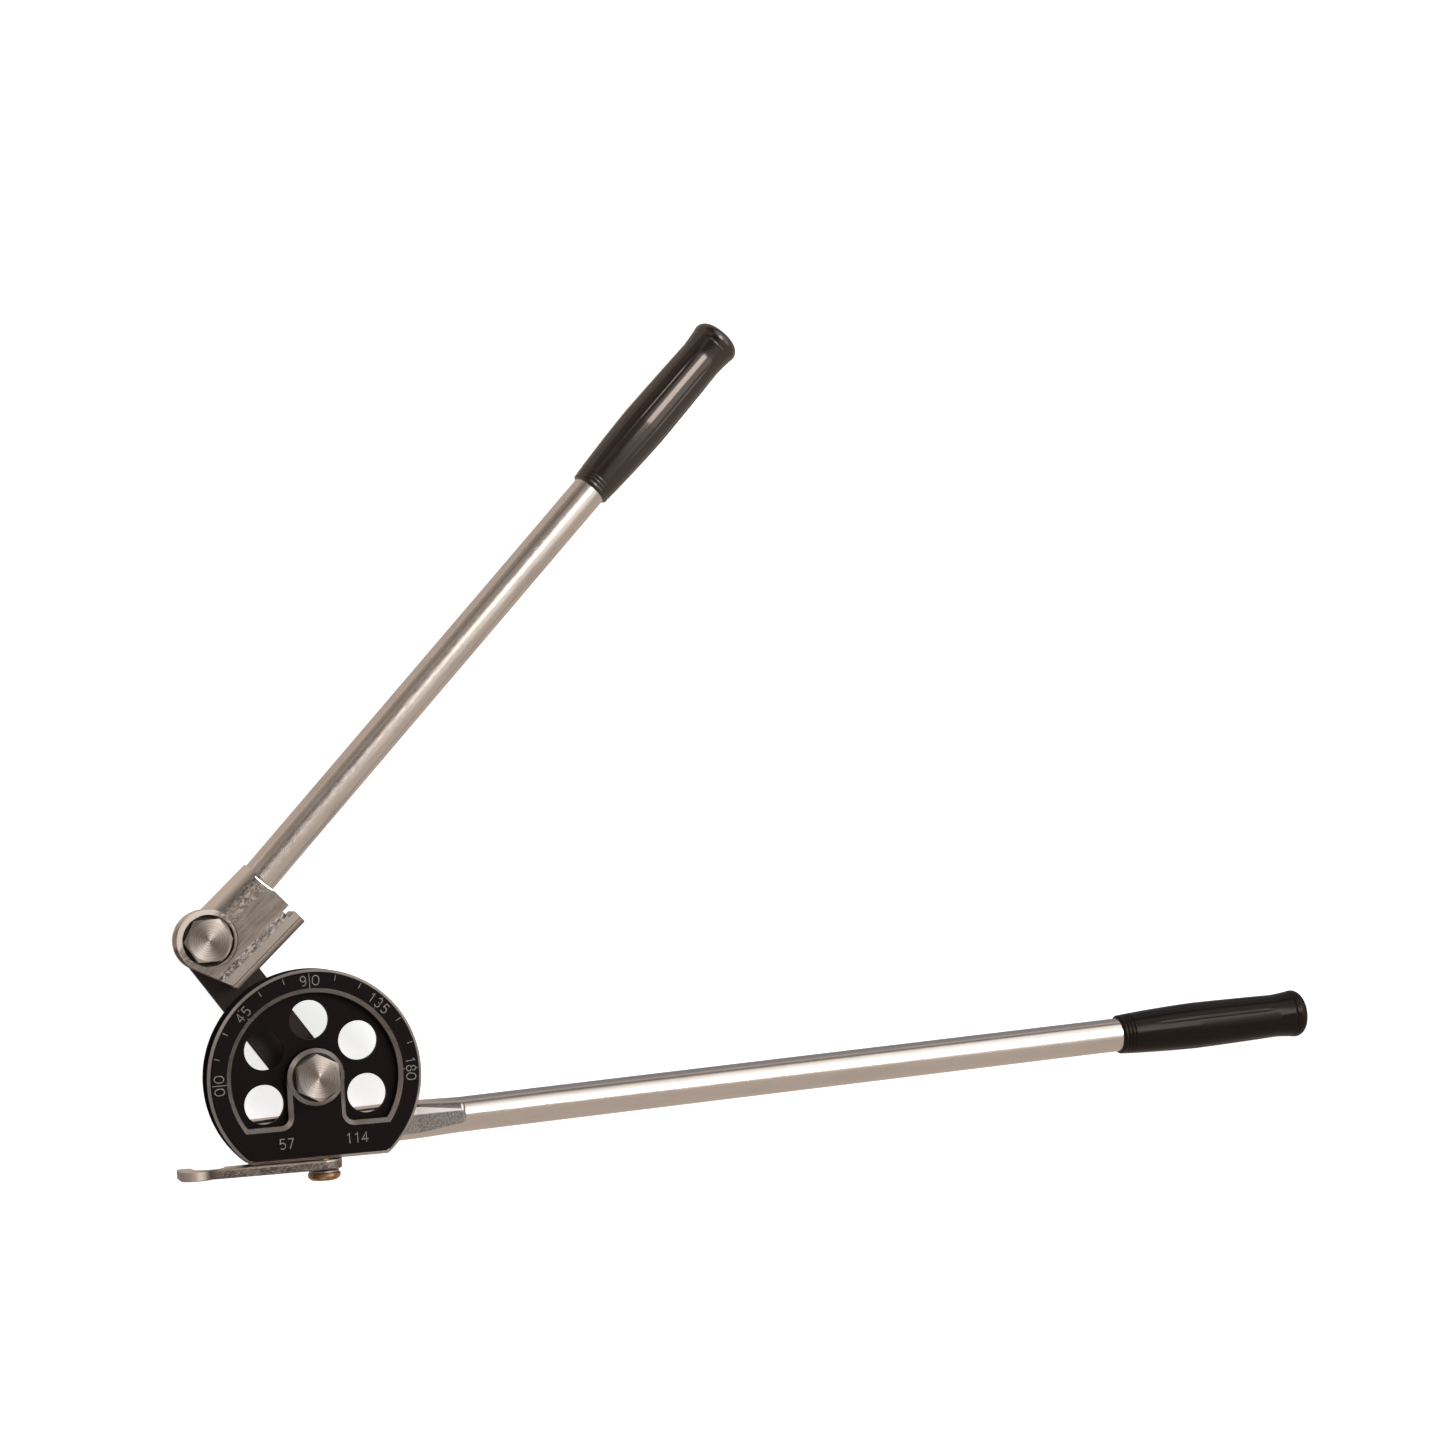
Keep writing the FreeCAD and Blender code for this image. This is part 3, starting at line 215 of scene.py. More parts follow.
def wheel_paint():
    """Black anodised, with the turned bevels polished back to bare aluminium."""
    p = Paint("black_aluminium", (0.005, 0.0035, 0.003), 0.0, 0.45, Specular_IOR_Level=0.09)
    x, y, z = p.split(p.place)
    away = p.distance(x, y)
    across = p.split(p.framed(ORIGIN, WITH_WHEEL))[1]
    lean = p.math("ABSOLUTE", p.split(p.facing)[2])
    level = p.math("ABSOLUTE", z)
    # Sloping faces next to the front and the back, of which some are bare.
    sloping = p.times(p.band(lean, 0.35, 0.92, 0.04), p.ranged(level, 0, 1, 9.0 * MM, 9.4 * MM))
    rim = p.times(p.above(away, 55.3 * MM, 55.9 * MM), 0.8)
    flat = p.ranged(across, 1, 0, -41.5 * MM, -41.0 * MM)
    # The pockets' bevels are bare, and the step below their outer arc isn't.
    beside = p.ranged(across, 0, 1, -24.0 * MM, -23.0 * MM)
    step = p.times(p.band(away, 42.0 * MM, 44.7 * MM, 0.2 * MM), beside)
    pocket = p.minus(p.ranged(away, 1, 0, 47.5 * MM, 48.5 * MM), step)
    bevel = p.math("MULTIPLY", sloping, p.most(rim, flat, pocket), True)
    worn = p.noise(260, 4, 0.6)
    bare = p.times(bevel, p.ranged(worn, 0.70, 1.0, 0.30, 0.55))
    cloud = p.noise(40, 4)
    speck = p.noise(1500, 2)
    black = p.mix(cloud, (0.0024, 0.0011, 0.0010), (0.0052, 0.0029, 0.0026))
    p.colour(p.mix(bare, black, (0.54, 0.49, 0.46)))
    p.metal(bare)
    p.roughness(p.minus(p.ranged(cloud, 0.42, 0.56), p.times(bare, 0.14)))
    p.bump(p.plus(speck, p.times(worn, 0.4)), 0.25, 0.03 * MM)
    return p.material


def plated(name, base, rough, spread, mottle, grain, origin=ORIGIN, turn=UPRIGHT, stretch=1.0, pressed=None):
    """Plating: soft clouds and a fine grain, drawn out along the piece, and rough up to pressed, with a painted
    highlight along the top of the pressed part.
    """
    p = Paint(name, base, 1.0, rough)
    along = p.framed(origin, turn, (stretch, 1, 1))
    cloud = p.noise(90, 5, 0.65, along)
    fine = p.noise(620, 3, 0.6, along)
    dark = tuple(c * 0.62 for c in base)
    spots = p.ranged(cloud, 0, mottle, 0.42, 0.75, True)
    tone = p.mix(spots, base, dark)
    worn = p.times(spots, 0.08)
    height = p.plus(fine, cloud)
    if pressed:
        x, y, _ = p.split(along)
        front = p.above(p.split(p.facing)[2], 0.90, 0.97)
        rough_end = p.times(p.ranged(x, 1, 0, pressed * stretch, (pressed + 1.0 * MM) * stretch), front)
        grit = p.noise(1300, 2)
        torn = p.mix(p.ranged(grit, 0, 1, 0.4, 0.62), (0.17, 0.15, 0.135), (0.32, 0.285, 0.26))
        # Painted highlight: a light band along the top of the pressed part, standing in for the tube's shine.
        painted_highlight_band = p.above(y, PRESSED_PAINTED_HIGHLIGHT - 0.4 * MM, PRESSED_PAINTED_HIGHLIGHT + 0.4 * MM)
        tone = p.mix(rough_end, tone, p.mix(painted_highlight_band, torn, (0.86, 0.83, 0.81)))
        worn = p.plus(worn, p.times(rough_end, 0.35))
        p.metal(p.ranged(rough_end, 1.0, 0.35))
        height = p.plus(height, p.times(grit, rough_end, 3))
    p.colour(tone)
    p.roughness(p.plus(p.ranged(fine, rough - spread / 2, rough + spread / 2, 0.3, 0.7), worn))
    p.bump(height, grain, 0.05 * MM)
    return p.material


def bracket_paint():
    """Zinc-plated sheet, rough and blotchy where it was bent, with a painted shadow round the lower right of a
    ring pressed round the bolt and painted shade in the lip's crease.
    """
    p = Paint("plated_sheet", (0.55, 0.50, 0.46), 1.0, 0.3)
    x, y, z = p.split(p.framed(PIVOT, WITH_LIP))
    wide = p.framed(PIVOT, WITH_LIP, (0.8, 1.25, 1))
    long = p.framed(PIVOT, WITH_LIP, (0.16, 1.2, 1))
    patch = p.noise(150, 4, 0.6, wide)
    blotch = p.noise(620, 3, 0.6, wide)
    grit = p.noise(1300, 3, 0.65, wide)
    streak = p.noise(420, 4, 0.6, long)
    # Blotches along the fold over the tube and along the lip's bend.
    front = p.above(z, 7.5 * MM, 10.0 * MM)
    fold = p.times(p.band(y, -3.0 * MM, 7.0 * MM, 2.5 * MM), p.ranged(patch, 0.45, 1.0, 0.35, 0.55))
    lip = p.times(p.band(y, -21.3 * MM, -17.2 * MM, 0.8 * MM), p.ranged(patch, 0.6, 1.0, 0.35, 0.5))
    bent = p.math("MULTIPLY", p.most(p.times(fold, 0.65), lip), front, True)
    spots = p.mix(p.above(blotch, 0.40, 0.64), (0.070, 0.062, 0.056), (0.49, 0.455, 0.435))
    # Streaks on the flat between them, whose colour is darker than the round back of the fold.
    flat = p.times(p.band(y, -17.5 * MM, 4.0 * MM, 3.0 * MM), front)
    dim = p.plus(p.ranged(patch, 0.15, 0.45, 0.3, 0.7), p.ranged(streak, 0.05, 0.5, 0.35, 0.65))
    base = p.mix(p.above(y, 6.0 * MM, 9.0 * MM), (0.42, 0.38, 0.35), (0.80, 0.735, 0.68))
    soft = p.mix(p.math("MULTIPLY", flat, dim, True), base, (0.16, 0.135, 0.115))
    # Painted shadow: a dark line round the lower right of the ring pressed round the bolt.
    lower = p.times(p.below(y, -6.0 * MM, 3.0 * MM), p.above(x, -9.0 * MM, -3.0 * MM))
    raised = p.ranged(z, 0, 1, 11.2 * MM, 11.6 * MM)
    ring = p.times(p.band(p.distance(x, y), 14.9 * MM, 15.4 * MM, 0.3 * MM), lower, raised)
    # Painted shade along the crease where the lip bends away.
    lip_crease_painted_shade = p.times(p.band(y, -26.3 * MM, -25.9 * MM, 0.2 * MM), front)
    edge = p.times(p.below(y, -26.6 * MM, -26.0 * MM), p.ranged(grit, 0.35, 0.95, 0.3, 0.7))
    tone = p.mix(bent, soft, spots)
    tone = p.mix(edge, tone, (0.30, 0.245, 0.21))
    # dark holds the ring's painted shadow and the crease's painted shade; the bump also sinks them a little.
    dark = p.most(p.times(ring, 0.8), p.times(lip_crease_painted_shade, 0.7))
    p.colour(p.mix(dark, tone, (0.12, 0.10, 0.09)))
    rough = p.plus(p.ranged(grit, 0.24, 0.34), p.times(bent, 0.08))
    p.roughness(p.plus(rough, p.times(edge, 0.15)))
    lumps = p.plus(p.times(grit, 0.6), blotch)
    lumps = p.times(lumps, p.plus(p.most(bent, edge), 0.10))
    lumps = p.plus(lumps, p.times(streak, flat, 0.35))
    p.bump(p.minus(lumps, p.times(dark, 1.2)), 0.7, 0.16 * MM)
    return p.material


def latch_paint():
    """Zinc-plated bar: torn and dark along the sheared edge, smooth at the hook's end, with painted light on that
    end and painted shade in the hook's bend.
    """
    p = Paint("plated_latch", (0.60, 0.535, 0.48), 1.0, 0.3)
    x, y, _ = p.split(p.framed(ORIGIN, WITH_WHEEL))
    long = p.framed(ORIGIN, WITH_WHEEL, (0.5, 1.2, 1))
    streak = p.noise(260, 4, 0.65, long)
    grit = p.noise(1100, 3, 0.6, long)
    front = p.ranged(p.split(p.facing)[2], 0, 1, 0.25, 0.6)
    edge = p.times(p.above(x, -59.0 * MM, -53.0 * MM), p.below(y, -45.0 * MM, -44.3 * MM), front)
    torn = p.times(edge, p.ranged(streak, 0.70, 1.0, 0.35, 0.6))
    dark = p.mix(p.above(grit, 0.45, 0.68), (0.10, 0.084, 0.074), (0.32, 0.28, 0.255))
    # Painted light: the hook's end is lighter, fading towards its bend.
    hook_end_painted_light = p.mix(p.below(x, -68.0 * MM, -62.0 * MM), (0.46, 0.405, 0.36), (0.84, 0.75, 0.67))
    # Painted shade in the hook's bend.
    hook_bend_painted_shade = p.times(p.band(x, -60.8 * MM, -54.8 * MM, 1.8 * MM), front)
    tone = p.mix(torn, hook_end_painted_light, dark)
    p.colour(p.mix(p.times(hook_bend_painted_shade, 0.8), tone, (0.13, 0.105, 0.09)))
    satin = p.ranged(x, 0.22, 0, -60.0 * MM, -56.0 * MM, True)
    p.roughness(p.plus(p.ranged(grit, 0.26, 0.34), satin, p.times(torn, 0.12)))
    p.bump(p.times(p.plus(streak, grit), p.plus(torn, 0.02)), 0.6, 0.12 * MM)
    return p.material


def turned_steel(name, centre):
    """Turned face: fine circles about the bolt's own axis."""
    p = Paint(name, (0.60, 0.545, 0.50), 1.0, 0.42, Anisotropic=1.0, Anisotropic_Rotation=0.25)
    x, y, _ = p.split(p.framed(centre, UPRIGHT))
    radius = p.distance(x, y)
    line = p.node("ShaderNodeCombineXYZ")
    p.link(radius, line.inputs[0])
    drift = p.noise(700, 2, 0.5, line.outputs[0])
    fine = p.noise(500, 3)
    cloud = p.noise(120, 4)
    face = p.ranged(p.split(p.facing)[2], 0, 1, 0.9, 0.98)
    rings = p.math("SINE", p.plus(p.times(radius, 4.8 / MM), p.times(drift, 7)))
    rings = p.times(rings, p.ranged(drift, 0.3, 1.0, 0.35, 0.65), face)
    tone = p.mix(p.ranged(cloud, 0, 0.5, 0.45, 0.75), (0.56, 0.51, 0.47), (0.42, 0.38, 0.35))
    p.colour(p.mix(p.ranged(rings, 0.0, 0.75, 1.0, -1.0), tone, (0.20, 0.175, 0.16)))
    around = p.node("ShaderNodeTangent", direction_type="RADIAL", axis="Z")
    p.link(around.outputs["Tangent"], p.shader.inputs["Tangent"])
    p.roughness(p.plus(p.ranged(fine, 0.38, 0.46), p.times(rings, 0.04)))
    p.bump(p.plus(rings, fine), 0.30, 0.04 * MM)
    return p.material


def dull_black(name, base, rough):
    """Blackened steel or rubber, slightly cloudy."""
    p = Paint(name, base, 0.0, rough, Specular_IOR_Level=0.35)
    cloud = p.noise(70, 4, 0.6)
    p.colour(p.mix(cloud, tuple(c * 0.75 for c in base), tuple(c * 1.3 for c in base)))
    p.roughness(p.ranged(cloud, rough - 0.08, rough + 0.06))
    p.bump(p.noise(1000, 3), 0.2, 0.04 * MM)
    return p.material


def washer_painted_shade(name, centre):
    """Plated washer, painted black as shade except on its right side, which shows the bare metal."""
    p = Paint(name, (0.010, 0.009, 0.008), 0.0, 0.5, Specular_IOR_Level=0.35)
    worn = p.noise(500, 3)
    # Painted shade: black everywhere but the washer's right side.
    side = p.plus(p.split(p.framed(centre, UPRIGHT))[0], p.times(worn, 3.0 * MM))
    bare = p.above(side, 6.0 * MM, 10.5 * MM)
    p.colour(p.mix(bare, (0.010, 0.009, 0.008), (0.52, 0.47, 0.43)))
    p.metal(bare)
    p.roughness(p.ranged(bare, 0.5, 0.3))
    p.bump(worn, 0.2, 0.04 * MM)
    return p.material


def copper_paint():
    """Copper-plated screw head, brassy where it is rubbed."""
    p = Paint("copper_plate", (0.42, 0.20, 0.09), 1.0, 0.3)
    cloud = p.noise(260, 4, 0.6)
    p.colour(p.mix(p.above(cloud, 0.38, 0.62), (0.30, 0.155, 0.085), (0.50, 0.33, 0.17)))
    p.roughness(p.ranged(cloud, 0.25, 0.42))
    p.bump(p.noise(900, 3), 0.2, 0.04 * MM)
    return p.material


def vinyl_paint(name, gloss, smooth, dull):
    """Moulded black vinyl, more or less polished by the hand."""
    warm = (1.0, 0.88, 0.80, 1)
    p = Paint(name, (0.010, 0.007, 0.006), 0.0, 0.2, Specular_IOR_Level=gloss, Specular_Tint=warm)
    cloud = p.noise(70, 3)
    p.colour(p.mix(cloud, (0.0075, 0.0048, 0.0042), (0.0115, 0.0080, 0.0070)))
    p.roughness(p.ranged(p.noise(300, 4, 0.6), smooth, dull))
    p.bump(p.plus(p.noise(1400, 2), p.noise(160, 2)), 0.10, 0.06 * MM)
    return p.material


def mark_paint():
    """Pale filling of the scale's lines and numbers, partly worn away."""
    p = Paint("scale_fill", (0.22, 0.20, 0.185), 0.0, 0.6)
    worn = p.noise(900, 4, 0.65)
    p.colour(p.mix(p.ranged(worn, 0, 1, 0.35, 0.6), (0.11, 0.098, 0.09), (0.24, 0.22, 0.205)))
    p.bump(worn, 0.2, 0.04 * MM)
    return p.material


pivot = tuple(PIVOT)
zinc = (0.70, 0.645, 0.60)
oxide = dull_black("black_oxide", (0.019, 0.0125, 0.010), 0.5)
spring = plated("spring_steel", (0.36, 0.33, 0.31), 0.33, 0.12, 0.5, 0.4)
bronze = plated("bronze", (0.55, 0.36, 0.17), 0.35, 0.12, 0.5, 0.4)
burr = plated("bright_sheet", (0.86, 0.84, 0.82), 0.2, 0.1, 0.2, 0.3)
marks = mark_paint()

PAINTS = {
    "forming_wheel": wheel_paint(),
    "fixed_handle_tube": plated("plated_tube", zinc, 0.21, 0.05, 0.20, 0.10, stretch=0.35,
                                pressed=PRESSED_END),
    "arm_handle_tube": plated("plated_arm_tube", zinc, 0.23, 0.08, 0.45, 0.35, pivot, WITH_ARM, 0.35),
    "fixed_handle_grip": vinyl_paint("black_vinyl", 0.14, 0.14, 0.22),
    "arm_handle_grip": vinyl_paint("black_vinyl_polished", 0.95, 0.09, 0.16),
    "handle_spring_pins": spring,
    "centre_bolt": turned_steel("centre_bolt_steel", ORIGIN),
    "arm_pivot_bolt": turned_steel("arm_bolt_steel", pivot),
    "centre_nut": turned_steel("centre_nut_steel", ORIGIN),
    "arm_pivot_nut": turned_steel("arm_nut_steel", pivot),
    "centre_seal_washer": dull_black("black_washer", (0.010, 0.009, 0.008), 0.55),
    "arm_head_washer": washer_painted_shade("washer_painted_shade", pivot),
    "centre_nut_washer": spring,
    "arm_nut_washer": spring,
    "hub_thrust_washer": spring,
    "arm_thrust_washer": spring,
    "latch_spring_washer": spring,
    "link_plate": oxide,
    "link_bush": bronze,
    "arm_pivot_bush": bronze,
    "shoe_bracket": bracket_paint(),
    "latch_hook": latch_paint(),
    "latch_screw": copper_paint()}

for row in frame["record"]["subparts"]:
    node = nodes[row["node"]]
    node.data.materials.clear()
    node.data.materials.append(PAINTS[row["node"]])


# ---------------------------------------------------------------- geometry helpers

def piece(name, bm, paint, body):
    """Turns the mesh into a piece that rides on body, with the given paint."""
    mesh = bpy.data.meshes.new(name)
    bmesh.ops.recalc_face_normals(bm, faces=bm.faces)
    bm.to_mesh(mesh)
    bm.free()
    mesh.materials.append(paint)
    made = bpy.data.objects.new(name, mesh)
    bpy.context.scene.collection.objects.link(made)
    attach(made, body)
    return made


def arc(cx, cy, rx, ry, start, end, count=14):
    """Points along an ellipse, with the angles in degrees."""
    out = []
    for step in range(count + 1):
        turn = math.radians(start + (end - start) * step / count)
        out.append((cx + rx * math.cos(turn), cy + ry * math.sin(turn)))
    return out


# Strokes of the digits, one unit high about their middle.
DIGITS = {
    "0": [arc(0, 0.14, 0.34, 0.36, 0, 180) + arc(0, -0.14, 0.34, 0.36, 180, 360) + [(0.34, 0.14)]],
    "1": [[(-0.16, 0.30), (0.06, 0.5), (0.06, -0.5)]],
    "3": [arc(-0.02, 0.245, 0.25, 0.255, 150, -90) + arc(-0.02, -0.235, 0.29, 0.265, 90, -150)],
    "4": [[(0.13, -0.5), (0.13, 0.5), (-0.32, -0.2), (0.33, -0.2)]],
    "5": [[(0.25, 0.5), (-0.20, 0.5), (-0.24, 0.06)] + arc(0.0, -0.19, 0.29, 0.31, 130, -140)],
    "7": [[(-0.28, 0.5), (0.28, 0.5), (-0.08, -0.5)]],
    "8": [arc(0, 0.255, 0.24, 0.245, -90, 270), arc(0, -0.245, 0.29, 0.255, 90, 450)],
    "9": [arc(0, 0.21, 0.28, 0.29, 0, 360) + [(0.28, 0.05)] + arc(-0.02, -0.12, 0.30, 0.38, 0, -115)]}


def ribbon(bm, points, width):
    """Thin raised line through the points on the wheel's face, with square ends."""
    same = 0.001 * MM
    top = WHEEL_FACE + 0.03 * MM
    levels = (top, top - 0.06 * MM)
    sharpest = 0.55     # keeps sharp corners from reaching out
    keep = [points[0]]
    for point in points[1:]:
        if math.dist(point, keep[-1]) > same:
            keep.append(point)
    closed = math.dist(keep[0], keep[-1]) < 10 * same
    if closed:
        keep.pop()
    count = len(keep)
    sides = []
    for index, (x, y) in enumerate(keep):
        before = keep[index - 1] if index or closed else None
        after = keep[(index + 1) % count] if index < count - 1 or closed else None
        d1 = Vector((x - before[0], y - before[1])).normalized() if before else None
        d2 = Vector((after[0] - x, after[1] - y)).normalized() if after else None
        d1, d2 = d1 or d2, d2 or d1
        normal = Vector((-(d1 + d2).y, (d1 + d2).x))
        if normal.length < 1e-3:
            normal = Vector((-d2.y, d2.x))
        normal.normalize()
        reach = width / 2 / max(sharpest, normal.dot(Vector((-d1.y, d1.x))))
        sides.append([bm.verts.new((x + sign * normal.x * reach, y + sign * normal.y * reach, z))
                      for sign in (1, -1) for z in levels])
    for index in range(count if closed else count - 1):
        a, b = sides[index], sides[(index + 1) % count]
        bm.faces.new((a[0], a[2], b[2], b[0]))
        bm.faces.new((a[1], a[0], b[0], b[1]))
        bm.faces.new((a[2], a[3], b[3], b[2]))
    if not closed:
        for end, order in ((sides[0], (0, 1, 3, 2)), (sides[-1], (0, 2, 3, 1))):
            bm.faces.new([end[k] for k in order])


def number(bm, text, places, ups, height, width):
    """The digits of text at their places, each with its top along its own up."""
    for sign, place, up in zip(text, places, ups):
        up = up.normalized()
        right = Vector((up.y, -up.x))
        for stroke in DIGITS[sign]:
            line = [tuple(place + right * (x * height) + up * (y * height)) for x, y in stroke]
            ribbon(bm, line, width)


def spread(text, step):
    """Offsets that centre the digits of text, step apart."""
    return [(index - (len(text) - 1) / 2) * step for index in range(len(text))]


# ---------------------------------------------------------------- scale on the wheel

def on_scale(degrees, radius):
    """Place on the wheel's face, with 0 degrees on the left and the scale running clockwise."""
    turn = math.radians(180 + SCALE_TURN - degrees)
    return Vector((radius * math.cos(turn), radius * math.sin(turn)))


def scale_marks():
    """Degrees from 0 to 180, with a short line each 15."""
    width = 0.42 * MM
    outer, short, middle, inner = 54.7 * MM, 51.7 * MM, 51.1 * MM, 46.7 * MM
    whole = (inner, outer)
    lines = {degrees: [(short, outer)] for degrees in (15, 30, 60, 75, 105, 120, 150, 165)}
    lines.update({degrees: [whole] for degrees in (0, 90)})
    ends = [(inner, inner + 1.1 * MM), (outer - 0.9 * MM, outer)]
    lines.update({degrees: ends for degrees in (45, 135, 180)})
    bm = bmesh.new()
    for degrees, spans in lines.items():
        for start, end in spans:
            ribbon(bm, [tuple(on_scale(degrees, start)), tuple(on_scale(degrees, end))], width)
    # The numbers, with the degrees from one of their digits to the next.
    for degrees, text, step in ((0, "00", 7.5), (90, "90", 7.5), (45, "45", 5.3), (135, "135", 5.2),
                                (180, "180", 4.9)):
        places = [on_scale(degrees + offset, middle) for offset in spread(text, step)]
        number(bm, text, places, places, 5.0 * MM, 0.52 * MM)
    piece("scale_marks", bm, marks, "wheel_side")


def radius_marks():
    """Plain numbers below the pockets: the wheel's radius and diameter in millimetres."""
    turn = Matrix.Rotation(WHEEL_TURN, 2)
    bm = bmesh.new()
    for text, x in (("57", -17.5 * MM), ("114", 20.0 * MM)):
        places = [turn @ Vector((x + offset, -33.8 * MM)) for offset in spread(text, 4.3 * MM)]
        number(bm, text, places, [turn @ Vector((0, 1))] * len(text), 5.2 * MM, 0.55 * MM)
    piece("radius_marks", bm, marks, "wheel_side")


scale_marks()
radius_marks()


# ---------------------------------------------------------------- grips

def through(a, b, c):
    """Height of the circle through three points, as a function of x."""
    (ax, ay), (bx, by), (cx, cy) = a, b, c
    d = 2 * (ax * (by - cy) + bx * (cy - ay) + cx * (ay - by))
    aa, bb, cc = (x ** 2 + y ** 2 for x, y in (a, b, c))
    ux = (aa * (by - cy) + bb * (cy - ay) + cc * (ay - by)) / d
    uy = (aa * (cx - bx) + bb * (ax - cx) + cc * (bx - ax)) / d
    radius = math.hypot(ax - ux, ay - uy)
    side = 1 if by > uy else -1
    return lambda x: uy + side * math.sqrt(max(0.0, radius ** 2 - (x - ux) ** 2))


def grip_profile():
    """(place along the grip, radius) in millimetres, and the place of its tip."""
    length, lip, bore, edge, crown = 119.5, 1.2, 9.5, 5.4, 2.2
    cap = length - crown
    mouth, swell, waist, flare = (lip, 11.3), (48.0, 13.4), (99.0, 12.5), (cap - edge, 13.8)
    # Between two ends, a circle through the given x and share of the rise or fall.
    spans = ((mouth, 24.0, 0.62, swell), (swell, 73.5, 0.4, waist), (waist, 105.45, 0.38, flare))
    parts = [(a[0], b[0], through(a, (x, a[1] + (b[1] - a[1]) * share), b)) for a, x, share, b in spans]
    corner = ((0.0, 1.0), (0.13, 0.5), (0.5, 0.13))
    out = [(0.0, bore)] + [(lip * along, mouth[1] - lip * inward) for along, inward in corner]
    # Turned rings: place and depth.
    rings = [(2.73, 0.42), (4.83, 0.42), (6.93, 0.42), (109.0, 0.34)]
    ring_width = 0.36
    coarse, fine = 1.1, 0.16
    x = lip
    while x < flare[0]:
        for start, end, height in parts:
            if start <= x < end:
                radius = height(x)
        for ring, deep in rings:
            radius -= deep * math.exp(-((x - ring) / ring_width) ** 2)
        out.append((x, radius))
        x += fine if min(abs(x - ring) for ring, _ in rings) < coarse else coarse
    for step in range(13):
        turn = math.radians(90 * step / 12)
        out.append((flare[0] + edge * math.sin(turn), flare[1] - edge + edge * math.cos(turn)))
    flattened = 0.98
    for step in range(1, 8):
        share = step / 8
        out.append((cap + crown * (1 - (1 - share) ** 2) * flattened, (flare[1] - edge) * (1 - share)))
    return out, cap + crown * 0.985


def grip(name, node, body, origin, angle):
    """Moulded grip with eight fine flutes along its middle, standing for the CAD grip."""
    profile, tip = grip_profile()
    sides, apart, first = 192, 45.0, 67.5
    inside, flute_depth, flute_width = 0.13, 0.30, 0.55
    flutes_start, flutes_end, fade_in, fade_out = 18.0, 98.0, 16.0, 14.0
    placed = Matrix.Translation(origin) @ Matrix.Rotation(angle, 4, "Z")
    bm = bmesh.new()
    rows = []
    for x, radius in profile:
        fade = max(0.0, min(1.0, (x - flutes_start) / fade_in))
        fade *= max(0.0, min(1.0, (flutes_end - x) / fade_out))
        fade = fade * fade * (3 - 2 * fade)
        row = []
        for step in range(sides):
            turn = 2 * math.pi * step / sides
            beyond = (math.degrees(turn) - first) % apart
            off_flute = math.radians(min(beyond, apart - beyond)) * radius
            r = radius - inside - flute_depth * fade * math.exp(-(off_flute / flute_width) ** 2)
            place = Vector((x * MM, r * math.cos(turn) * MM, r * math.sin(turn) * MM))
            row.append(bm.verts.new(placed @ place))
        rows.append(row)
    for a, b in zip(rows, rows[1:]):
        for step in range(sides):
            after = (step + 1) % sides
            bm.faces.new((a[step], a[after], b[after], b[step]))
    top = bm.verts.new(placed @ Vector((tip * MM, 0, 0)))
    for step in range(sides):
        bm.faces.new((rows[-1][step], rows[-1][(step + 1) % sides], top))
    for face in bm.faces:
        face.smooth = True
    made = piece(name, bm, PAINTS[node], body)
    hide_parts(node)


low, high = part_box("fixed_handle_grip")
grip("fixed_grip_vinyl", "fixed_handle_grip", "wheel_side",
     Vector((low.x, (low.y + high.y) / 2, (low.z + high.z) / 2)), 0.0)
along = Vector((math.cos(ARM_ANGLE), math.sin(ARM_ANGLE), 0))
pivot_level = Vector((PIVOT.x, PIVOT.y, 0))
grip("arm_grip_vinyl", "arm_handle_grip", "forming_arm", pivot_level + along * ARM_GRIP_START, ARM_ANGLE)


# ---------------------------------------------------------------- cut edge of the bracket's sheet

def sheet_burr():
    """Bright rolled burr on the cut edge of the sheet, over the arm's tube."""
    turn = Matrix.Translation(PIVOT) @ Matrix.Rotation(LIP_ANGLE, 4, "Z")
    back = turn.inverted()
    sheet = [back @ v.co for v in nodes["shoe_bracket"].data.vertices]
    face = max(v.z for v in sheet)
    edge = max(v.x for v in sheet if v.z > face - 0.2 * MM and v.y > -4.0 * MM)
    half, widest, slant, thin = 6.4 * MM, 1.1 * MM, 0.7 * MM, 0.02 * MM
    sunk = face - 0.1 * MM
    bm = bmesh.new()
    rows = []
    for step in range(25):
        share = step / 12 - 1
        y = half * share
        width = widest * math.sqrt(max(0.0, 1 - share ** 2)) + thin
        brink = edge - slant * (1 + share)
        rows.append([bm.verts.new(turn @ Vector(co)) for co in (
            (brink - width, y, sunk), (brink - width * 0.85, y, face + width * 0.30),
            (brink - width * 0.45, y, face + width * 0.20), (brink, y, face), (brink - thin, y, sunk))])
    for a, b in zip(rows, rows[1:]):
        for k in range(4):
            bm.faces.new((a[k], a[k + 1], b[k + 1], b[k]))
    bm.faces.new(rows[0])
    bm.faces.new(rows[-1])
    piece("sheet_burr", bm, burr, "forming_arm")


sheet_burr()


# ---------------------------------------------------------------- floor, lights, camera

